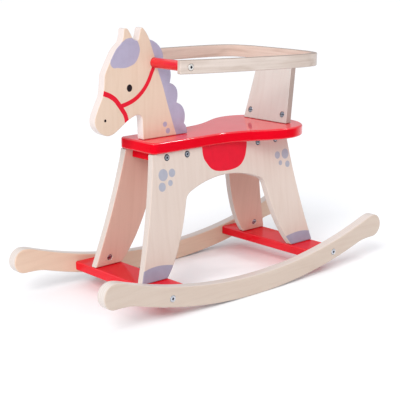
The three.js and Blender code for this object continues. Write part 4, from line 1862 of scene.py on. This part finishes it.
@dataclass
class Head:
    """The cut-out head, with its painted mane, bridle and eyes."""

    neck_x: float = 141.0
    throat: tuple[Point, ...] = ((142, 283), (142, 291), (148, 295), (157, 292.5))
    nose: tuple[Point, ...] = (
        (171, 286), (186, 276), (199, 268.5), (211, 267.2), (224, 273.5), (232, 284),
        (232.5, 296), (225, 313), (217.5, 328), (214.6, 344), (213.5, 358),
    )
    brow: tuple[Point, ...] = (
        (209, 367.5), (200, 383), (191, 396), (181, 405), (177, 414), (176, 423),
    )
    ears: tuple[tuple[int, Point, Point], ...] = (
        (6, (175.5, 426), (172, 426)),
        (5, (168.5, 426), (166, 422)),
        (1, (166, 422), (158.5, 410)),
        (7, (153, 405.5), (148, 408)),
        (1, (148, 408), (144.5, 422)),
        (6, (143, 426), (140, 425.8)),
        (8, (133, 420), (126, 407)),
    )
    cusps: tuple[Point, ...] = (
        (126, 407), (100, 371), (86, 337), (72, 305), (56.5, 270), (50, 253),
    )
    bulge: float = 13.0
    last_bulge: float = 3.25
    bulge_start: Point = (1.1, 0.25)
    bulge_end: Point = (0.45, 1.3)
    bar_hole: Triple = (8.3, 40.0, 160.0)
    thickness: float = 15.0
    edge: float = 1.6
    wood: Wood = Wood(
        "head_ply",
        (0.72, 0.56, 0.445),
        (0.675, 0.505, 0.385),
        (0.75, 0.67, 0.645),
        (0.70, 0.60, 0.56),
        thickness=15.0,
        plies=9,
        upright_grain=True,
        paints=(
            Paint(LILAC, 0.5, (FORELOCK, MANE_LINE, *NECK_SPOTS)),
            Paint(BRIDLE_RED, 0.36, (NOSEBAND, CHEEK_STRAP)),
            Paint(EYE_BLACK, 0.2, (EYE, NOSTRIL)),
        ),
    )

    def outline(self) -> list[Point]:
        """Draws the head from the side, its foot on the seat.

        Returns:
            The outline.
        """
        foot = span("head", UP)[0]
        outline = Outline((self.neck_x, foot))
        outline.line(self.throat[0])
        outline.cubic(*self.throat[1:], 10)
        outline.spline(self.nose, 6)
        outline.spline(self.brow, 5)
        for steps, control, end in self.ears:
            outline.quad(control, end, steps)
        for (from_x, from_z), (to_x, to_z) in zip(self.cusps, self.cusps[1:]):
            last = (to_x, to_z) == self.cusps[-1]
            bulge = self.last_bulge if last else self.bulge
            start = (from_x - bulge * self.bulge_start[0], from_z - bulge * self.bulge_start[1])
            end = (to_x - bulge * self.bulge_end[0], to_z + bulge * self.bulge_end[1])
            outline.cubic(start, end, (to_x, foot if last else to_z), 12)
        return outline.closed()

    def build(self) -> None:
        """Makes the head, with its handle hole and nut pockets."""
        placing = standing(self.thickness / 2)
        bm = plate(self.outline(), 0, self.thickness)
        round_edges(bm, self.edge, 4)
        placed(bm, placing)
        cutters = [bore(f"head_{kind}_{end.word}") for kind in ("bolt", "nut") for end in End]
        start, _ = axis_of("handle_bar", LEFTWARD)
        radius, near, far = self.bar_hole
        hole = lathe([(0, near), (radius, near), (radius, far), (0, far)], 48)
        cutters.append(placed(hole, aim(start, LEFTWARD)))
        material = self.wood.material(in_metres(placing))
        add_piece(bored(bm, cutters), "head", material)


@dataclass
class ArmRail:
    """The bent rail round the seat, a little lower at the rear."""

    side_line: tuple[Point, ...] = ((135, 87.4), (80, 103), (-36, 114), (-96.5, 114))
    rear_line: tuple[Point, ...] = ((-161, 114), (-172.5, 98), (-172.5, 0))
    thickness: float = 10.0
    height: float = 20.7
    edge: float = 1.4
    attribute: str = "strip"
    wood: Wood = Wood(
        "bent_strip",
        (0.685, 0.595, 0.54),
        (0.43, 0.335, 0.275),
        (0.40, 0.305, 0.255),
        (0.27, 0.19, 0.15),
        thickness=10.0,
        plies=4,
        roughness=0.38,
        # The inner face is painted a little darker: painted shade.
        inner=(0.99, 0.93, 0.89),
    )

    def outer_line(self) -> list[Point]:
        """The rail's outer edge from above, from the left tip round to the right."""
        half = Outline(self.side_line[0]).cubic(*self.side_line[1:], 30)
        return half.cubic(*self.rear_line, 40).mirror(1, -1).points

    def inner_line(self, inset: float) -> list[Point]:
        """Moves the outer edge inwards.

        Args:
            inset: How far.

        Returns:
            The inner edge.
        """
        outer = self.outer_line()
        line = []
        for here, before, after in zip(outer, [outer[0], *outer], [*outer[1:], outer[-1]]):
            length = math.dist(before, after)
            run = ((after[0] - before[0]) / length, (after[1] - before[1]) / length)
            line.append((here[0] - run[1] * inset, here[1] + run[0] * inset))
        return line

    def placing(self) -> Matrix:
        """Pitches the rail about the handle bar.

        Returns:
            From the rail's own level to the horse.
        """
        start, _ = axis_of("handle_bar", LEFTWARD)
        pitch = Euler((0, -RAIL_PITCH, 0)).to_matrix().to_4x4()
        return Matrix.Translation((start.x, 0, start.z)) @ pitch

    def strip(self) -> Mesh:
        """Makes the bent strip, in quads from tip to tip.

        Returns:
            The mesh.
        """
        placing = self.placing()
        pivot, foot = placing.translation.x, -self.height / 2
        bm = bmesh.new()
        edges = []
        for line in (self.outer_line(), self.inner_line(self.thickness)):
            chain = [bm.verts.new((x - pivot, y, foot)) for x, y in line]
            edges += [bm.edges.new(pair) for pair in zip(chain, chain[1:])]
        raise_faces(bm, bmesh.ops.bridge_loops(bm, edges=edges)["faces"], self.height)
        round_edges(bm, self.edge, 4)
        return placed(bm, placing)

    def mark_strip(self, piece: bpy.types.Object) -> None:
        """Writes the place along the strip, its height and its depth on every corner.

        Args:
            piece: The rail.
        """
        outer = [Vector((x, y, 0)) for x, y in self.outer_line()]
        lengths = [0.0]
        for before, after in zip(outer, outer[1:]):
            lengths.append(lengths[-1] + (after - before).length)
        level = self.placing().inverted()
        offset = self.placing().translation.x
        places: list[float] = []
        for corner in piece.data.vertices:
            own = level @ (corner.co / MM)
            flat = Vector((own.x + offset, own.y, 0))
            best = (math.inf, 0.0)
            for before, start, end in zip(lengths, outer, outer[1:]):
                run = end - start
                share = min(max((flat - start).dot(run) / run.length_squared, 0.0), 1.0)
                away = (flat - start - run * share).length
                best = min(best, (away, before + share * run.length))
            places += [best[1], own.z, best[0]]
        made = piece.data.attributes.new(self.attribute, "FLOAT_VECTOR", "POINT")
        made.data.foreach_set("vector", places)

    def build(self) -> None:
        """Makes the rail, with its bolt and pin holes."""
        fixings = [f"arm_{kind}_{side.word}" for side in Side for kind in ("bolt", "pin")]
        material = self.wood.strip_material(self.attribute)
        piece = add_bored(self.strip(), fixings, "arm_rail", material)
        self.mark_strip(piece)


@dataclass
class HandleBar:
    """The red bar through the head, held between the arms."""

    radius: float = 8.0
    overrun: float = 20.0
    paint: Gloss = RED_BAR

    def build(self, rail: ArmRail) -> None:
        """Makes the bar and cuts its ends to the arms.

        Args:
            rail: The arm rail.
        """
        start, length = axis_of("handle_bar", LEFTWARD)
        bm = rod(self.radius, length + self.overrun, 64)
        placed(bm, aim(start + LEFTWARD * (length / 2), LEFTWARD))
        inner = rail.inner_line(rail.thickness + GAP)
        nearest = min(range(1, len(inner) - 1), key=lambda i: abs(inner[i][0] - start.x))
        nearest = min(nearest, len(inner) - 1 - nearest)
        before, here, after = inner[nearest - 1 : nearest + 2]
        out = Vector((after[1] - before[1], before[0] - after[0], 0)).normalized()
        for sign in (1, -1):
            trim(bm, Vector((here[0], sign * here[1], 0)), Vector((out.x, sign * out.y, 0)))
        fixings = [f"arm_bolt_{side.word}" for side in Side]
        material = self.paint.material(TO_LENGTH)
        add_bored(bm, fixings, "handle_bar", material)


@dataclass
class BackPanel:
    """The leaning board behind the rider."""

    bottom_half: float = 52.0
    top_half: float = 39.5
    length: float = 110.0
    overrun: float = 10.0
    thickness: float = 12.0
    edge: float = 1.5
    wood: Wood = Wood(
        "back_ply",
        (0.61, 0.575, 0.54),
        (0.57, 0.515, 0.475),
        # The edge colours are far darker than the faces: the plies' own colour with painted shade
        # on the edges.
        (0.46, 0.37, 0.33),
        (0.35, 0.26, 0.23),
        thickness=12.0,
        plies=7,
        upright_grain=True,
    )

    def build(self, rail: ArmRail) -> None:
        """Makes the board, cut level at the seat and along the rail's underside.

        Args:
            rail: The arm rail.
        """
        turned_board = Matrix((LEFTWARD, BACK_UP, BACK_FRONT)).transposed().to_4x4()
        low = span("back_panel", UP)[0]
        foot = BACK_FRONT * span("back_panel", BACK_FRONT)[1]
        foot += BACK_UP * ((low - foot.z) / BACK_UP.z)
        placing = Matrix.Translation(foot) @ turned_board
        wide, narrow, high = self.bottom_half, self.top_half, self.length
        outline = [(-wide, -self.overrun), (wide, -self.overrun), (narrow, high), (-narrow, high)]
        bm = placed(plate(outline, -self.thickness, 0), placing)
        trim(bm, UP * low, -UP)
        level = rail.placing()
        trim(bm, level @ (UP * (-rail.height / 2 - GAP)), level.to_3x3() @ UP)
        round_edges(bm, self.edge)
        kinds = ("back_nut", "back_bolt", "arm_pin")
        fixings = [f"{kind}_{side.word}" for side in Side for kind in kinds]
        material = self.wood.material(in_metres(placing))
        add_bored(bm, fixings, "back_panel", material)


@dataclass
class Fasteners:
    """The socket screws, the barrel nuts and the hidden wooden pins."""

    socket: float = 2.0
    socket_corner: float = 1.155
    socket_depth: float = 2.0
    socket_reach: float = 1.3
    socket_top: float = 0.1
    dome: float = 0.6
    dome_drops: Triple = (0.12, 0.42, 0.9)
    chamfer: float = 0.2
    tip: float = 0.8
    # The radius beyond which a panel screw's rim takes the painted shade metal.
    bright: float = 3.4
    nut_slot: float = 1.3
    nut_slot_depth: float = 2.4
    nut_slot_share: float = 0.6
    nut_slot_floor: float = 1.3
    nut_chamfer: float = 0.5
    screw_metal: bpy.types.Material = field(default_factory=ZINC.material)
    # The dark metal that paints shade into sockets, slots and screw rims.
    rim_metal: bpy.types.Material = field(default_factory=SHADE_ZINC.material)
    arm_metal: bpy.types.Material = field(default_factory=PALE_ZINC.material)
    nut_metal: bpy.types.Material = field(default_factory=NUT_STEEL.material)
    pin_wood: Wood = Wood(
        "dowel_wood", (0.70, 0.55, 0.38), (0.55, 0.40, 0.25), EDGE_PALE, EDGE_DARK, 8.0, 1
    )

    def screw(self, node: str, length: float) -> Mesh:
        """Makes a screw with a domed rim and a six-sided socket.

        Args:
            node: Its CAD node. A panel screw's rim takes the painted shade metal, a painted dark
                ring round its head.
            length: Its length.

        Returns:
            The mesh, with its head at the origin.
        """
        rim, dome, cut = HEAD_RADIUS, self.dome, self.chamfer
        first, second, third = self.dome_drops
        profile = [(0, 0), (rim - 3 * dome, 0), (rim - dome, first), (rim - cut, second)]
        profile += [(rim, third), (rim, HEAD_HEIGHT - cut), (rim - cut, HEAD_HEIGHT)]
        profile += [(SHANK_RADIUS, HEAD_HEIGHT), (SHANK_RADIUS, length - self.tip)]
        profile += [(SHANK_RADIUS - self.tip, length), (0, length)]
        key = rod(self.socket * self.socket_corner, 2 * self.socket_depth, 6)
        bm = bored(lathe(profile, 40), [key])
        for face in bm.faces:
            middle = face.calc_center_median()
            away = middle.xy.length
            below = self.socket_top < middle.z < HEAD_HEIGHT
            in_socket = below and away < self.socket_reach * self.socket
            on_rim = node.startswith("panel_screw") and away > self.bright
            # Painted shade: the socket's walls, and a panel screw's rim, take the dark metal.
            face.material_index = int(in_socket or on_rim)
        return bm

    def nut(self, node: str, length: float) -> Mesh:
        """Makes a barrel nut with a slot in its end and a hole for the bolt.

        Args:
            node: Its CAD node. It is not used.
            length: Its length.

        Returns:
            The mesh, with its open end at the origin.
        """
        rim, cut = NUT_RADIUS, self.nut_chamfer
        profile = [(0, 0), (rim - cut, 0), (rim, cut), (rim, length - cut)]
        slot = bmesh.new()
        bmesh.ops.create_cube(slot, size=1)
        size = (self.nut_slot, 4 * rim, self.nut_slot_depth)
        bmesh.ops.scale(slot, vec=size, verts=slot.verts)
        bm = bored(lathe([*profile, (rim - cut, length), (0, length)], 36), [slot])
        for face in bm.faces:
            middle = face.calc_center_median()
            in_slot = abs(middle.x) < self.nut_slot_share * self.nut_slot
            # Painted shade: the slot's faces take the dark metal.
            face.material_index = int(in_slot and middle.z < self.nut_slot_floor)
        return bm

    def make(self, node: str) -> None:
        """Makes one screw or nut and adds it as a piece.

        Args:
            node: Its CAD node.
        """
        is_nut = "_nut_" in node
        start, length = axis_of(node, runs(node))
        bm = (self.nut if is_nut else self.screw)(node, length)
        placed(bm, aim(start, runs(node)))
        metal = self.arm_metal if node.startswith("arm") else self.screw_metal
        if is_nut:
            metal = self.nut_metal
            hole, reach = SHANK_RADIUS + HOLE_EASE, 2 * NUT_RADIUS
            drill = lathe([(0, -reach), (hole, -reach), (hole, reach), (0, reach)], 24)
            middle = start + runs(node) * length / 2
            bm = bored(bm, [placed(drill, aim(middle, self.bolt_way(node)))])
        # The second material is the painted shade metal.
        add_piece(bm, node, metal).data.materials.append(self.rim_metal)

    def bolt_way(self, node: str) -> Vector:
        """The way that a nut's bolt runs."""
        bolt = node.replace("_nut_", "_bolt_")
        return LEFTWARD if bolt.startswith("rocker") else runs(bolt)

    def build(self) -> None:
        """Makes every fastener and dresses the pins."""
        kinds = ("rocker_bolt", "rocker_nut", "leg_bolt", "leg_nut", "seat_screw")
        nodes = []
        for side in Side:
            for end in End:
                nodes += corner_fixings(kinds, end, side) + panel_screws(end, side)
            nodes += [f"{kind}_{side.word}" for kind in ("back_bolt", "back_nut", "arm_bolt")]
        nodes += [f"head_{kind}_{end.word}" for end in End for kind in ("bolt", "nut")]
        for node in nodes:
            self.make(node)
        self.dress_pins()

    def dress_pins(self) -> None:
        """Gives the hidden pins, which keep their CAD shape, a wood of their own."""
        material = self.pin_wood.material(Matrix.Identity(4))
        for name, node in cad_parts.items():
            if "_pin_" in name:
                node.data.materials.clear()
                node.data.materials.append(material)
                log.info("%s keeps its CAD shape, in %s", name, material.name)


# ---------------------------------------------------------------------------------------------
# The studio


@dataclass
class Studio:
    """A white floor, soft light all round and the camera."""

    azimuth: float = 137.641
    elevation: float = 13.755
    roll: float = 0.12
    lens: float = 91.97
    sensor: float = 36.0
    nearest: float = 0.05
    eye: Triple = (1.1271, 1.2193, 0.5395)
    floor_half: float = 30.0
    floor_cloud: Noise = Noise((1.5, 1.5, 1.5), 2.0)
    floor_pale: Colour = (0.945, 0.958, 0.98)
    floor_white: Colour = (0.955, 0.964, 0.985)
    floor_roughness: float = 0.9
    sky: float = 0.565
    sky_colour: Colour = (0.965, 0.975, 1.0)
    ceiling_power: float = 0.66
    ceiling_angle: float = 110.0
    window_power: float = 1.80
    window_angle: float = 30.0
    window_colour: Colour = (1.0, 0.985, 0.96)
    window_travel: Triple = (-1.25, -0.7, -1.0)
    lamp_power: float = 2.0
    lamp_size: float = 0.12
    lamp_offset: Triple = (-1.05, 0.33, 1.15)
    softbox_power: float = 2.4
    softbox_size: float = 0.7
    softbox_offset: Triple = (1.3, 0.95, 0.8)

    def floor(self) -> None:
        """Makes the pale floor."""
        bm = bmesh.new()
        bmesh.ops.create_grid(bm, x_segments=1, y_segments=1, size=self.floor_half)
        floor = as_object(bm, "studio_floor")
        sheet = NodeSheet("studio_floor")
        cloud = sheet.noise(sheet.object_place(), self.floor_cloud)
        colour = sheet.blend(cloud, self.floor_pale, self.floor_white)
        paper = sheet.surface(Base_Color=colour, Roughness=self.floor_roughness)
        floor.data.materials.append(paper)

    def hang(self, data: bpy.types.ID, looks: Vector, at: Vector) -> bpy.types.Object:
        """Puts a light or a camera in the scene.

        Args:
            data: The light or camera.
            looks: The way that it looks.
            at: Where it is.

        Returns:
            The object.
        """
        holder = bpy.data.objects.new(data.name, data)
        holder.location = at
        holder.rotation_mode = "QUATERNION"
        holder.rotation_quaternion = looks.to_track_quat("-Z", "Y")
        bpy.context.scene.collection.objects.link(holder)
        return holder

    def near_light(self, name: str, target: Vector, offset: Triple, size: float) -> bpy.types.Light:
        """Hangs a square light near the horse.

        Args:
            name: Its name.
            target: What it looks at.
            offset: Where it hangs, from its target.
            size: The length of its side.

        Returns:
            The light.
        """
        light = bpy.data.lights.new(name, "AREA")
        light.shape = "SQUARE"
        light.size = size
        at = target + Vector(offset)
        self.hang(light, target - at, at)
        return light

    def far_light(self, name: str, travel: Vector, angle: float) -> bpy.types.Light:
        """Adds a soft light so far away that it reaches the whole floor evenly.

        Args:
            name: Its name.
            travel: The way that its light travels.
            angle: How wide it looks from the floor, in degrees.

        Returns:
            The light.
        """
        light = bpy.data.lights.new(name, "SUN")
        light.angle = math.radians(angle)
        self.hang(light, travel, Vector())
        return light

    def light(self) -> None:
        """Sets the white surroundings and the soft lights."""
        world = bpy.data.worlds.new("studio")
        world.use_nodes = True
        back = world.node_tree.nodes["Background"]
        back.inputs["Color"].default_value = (*self.sky_colour, 1.0)
        back.inputs["Strength"].default_value = self.sky
        bpy.context.scene.world = world
        self.far_light("ceiling", -UP, self.ceiling_angle).energy = self.ceiling_power
        window = self.far_light("window", Vector(self.window_travel), self.window_angle)
        window.energy = self.window_power
        window.color = self.window_colour
        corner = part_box("seat")[1]
        lamp = self.near_light("glint_lamp", corner, self.lamp_offset, self.lamp_size)
        lamp.energy = self.lamp_power
        middle = (CAD_BOX[0] + CAD_BOX[1]) / 2
        softbox = self.near_light("softbox", middle, self.softbox_offset, self.softbox_size)
        softbox.energy = self.softbox_power
        bpy.context.scene.view_settings.view_transform = "Standard"

    def camera(self) -> None:
        """Sets up the camera."""
        a, e = math.radians(self.azimuth), math.radians(self.elevation)
        back = Vector((math.sin(a) * math.cos(e), -math.cos(a) * math.cos(e), math.sin(e)))
        data = bpy.data.cameras.new("camera")
        data.sensor_width = self.sensor
        data.lens = self.lens
        data.clip_start = self.nearest
        camera = self.hang(data, -back, Vector(self.eye))
        turn = Euler((0, 0, math.radians(self.roll))).to_quaternion()
        camera.rotation_quaternion = camera.rotation_quaternion @ turn
        bpy.context.scene.camera = camera

    def build(self) -> None:
        """Makes the whole studio."""
        self.floor()
        self.light()
        self.camera()


def main() -> None:
    """Builds the horse from the floor up, then the studio."""
    logging.basicConfig(level=logging.INFO, format="%(name)s: %(message)s")
    rail = ArmRail()
    builders: list[Callable[[], None]] = [
        Rockers().build,
        FootBoards().build,
        SidePanels().build,
        SeatRails().build,
        Seat().build,
        Head().build,
        rail.build,
        lambda: HandleBar().build(rail),
        lambda: BackPanel().build(rail),
        Fasteners().build,
        Studio().build,
    ]
    for build in builders:
        build()


if __name__ == "__main__":
    main()
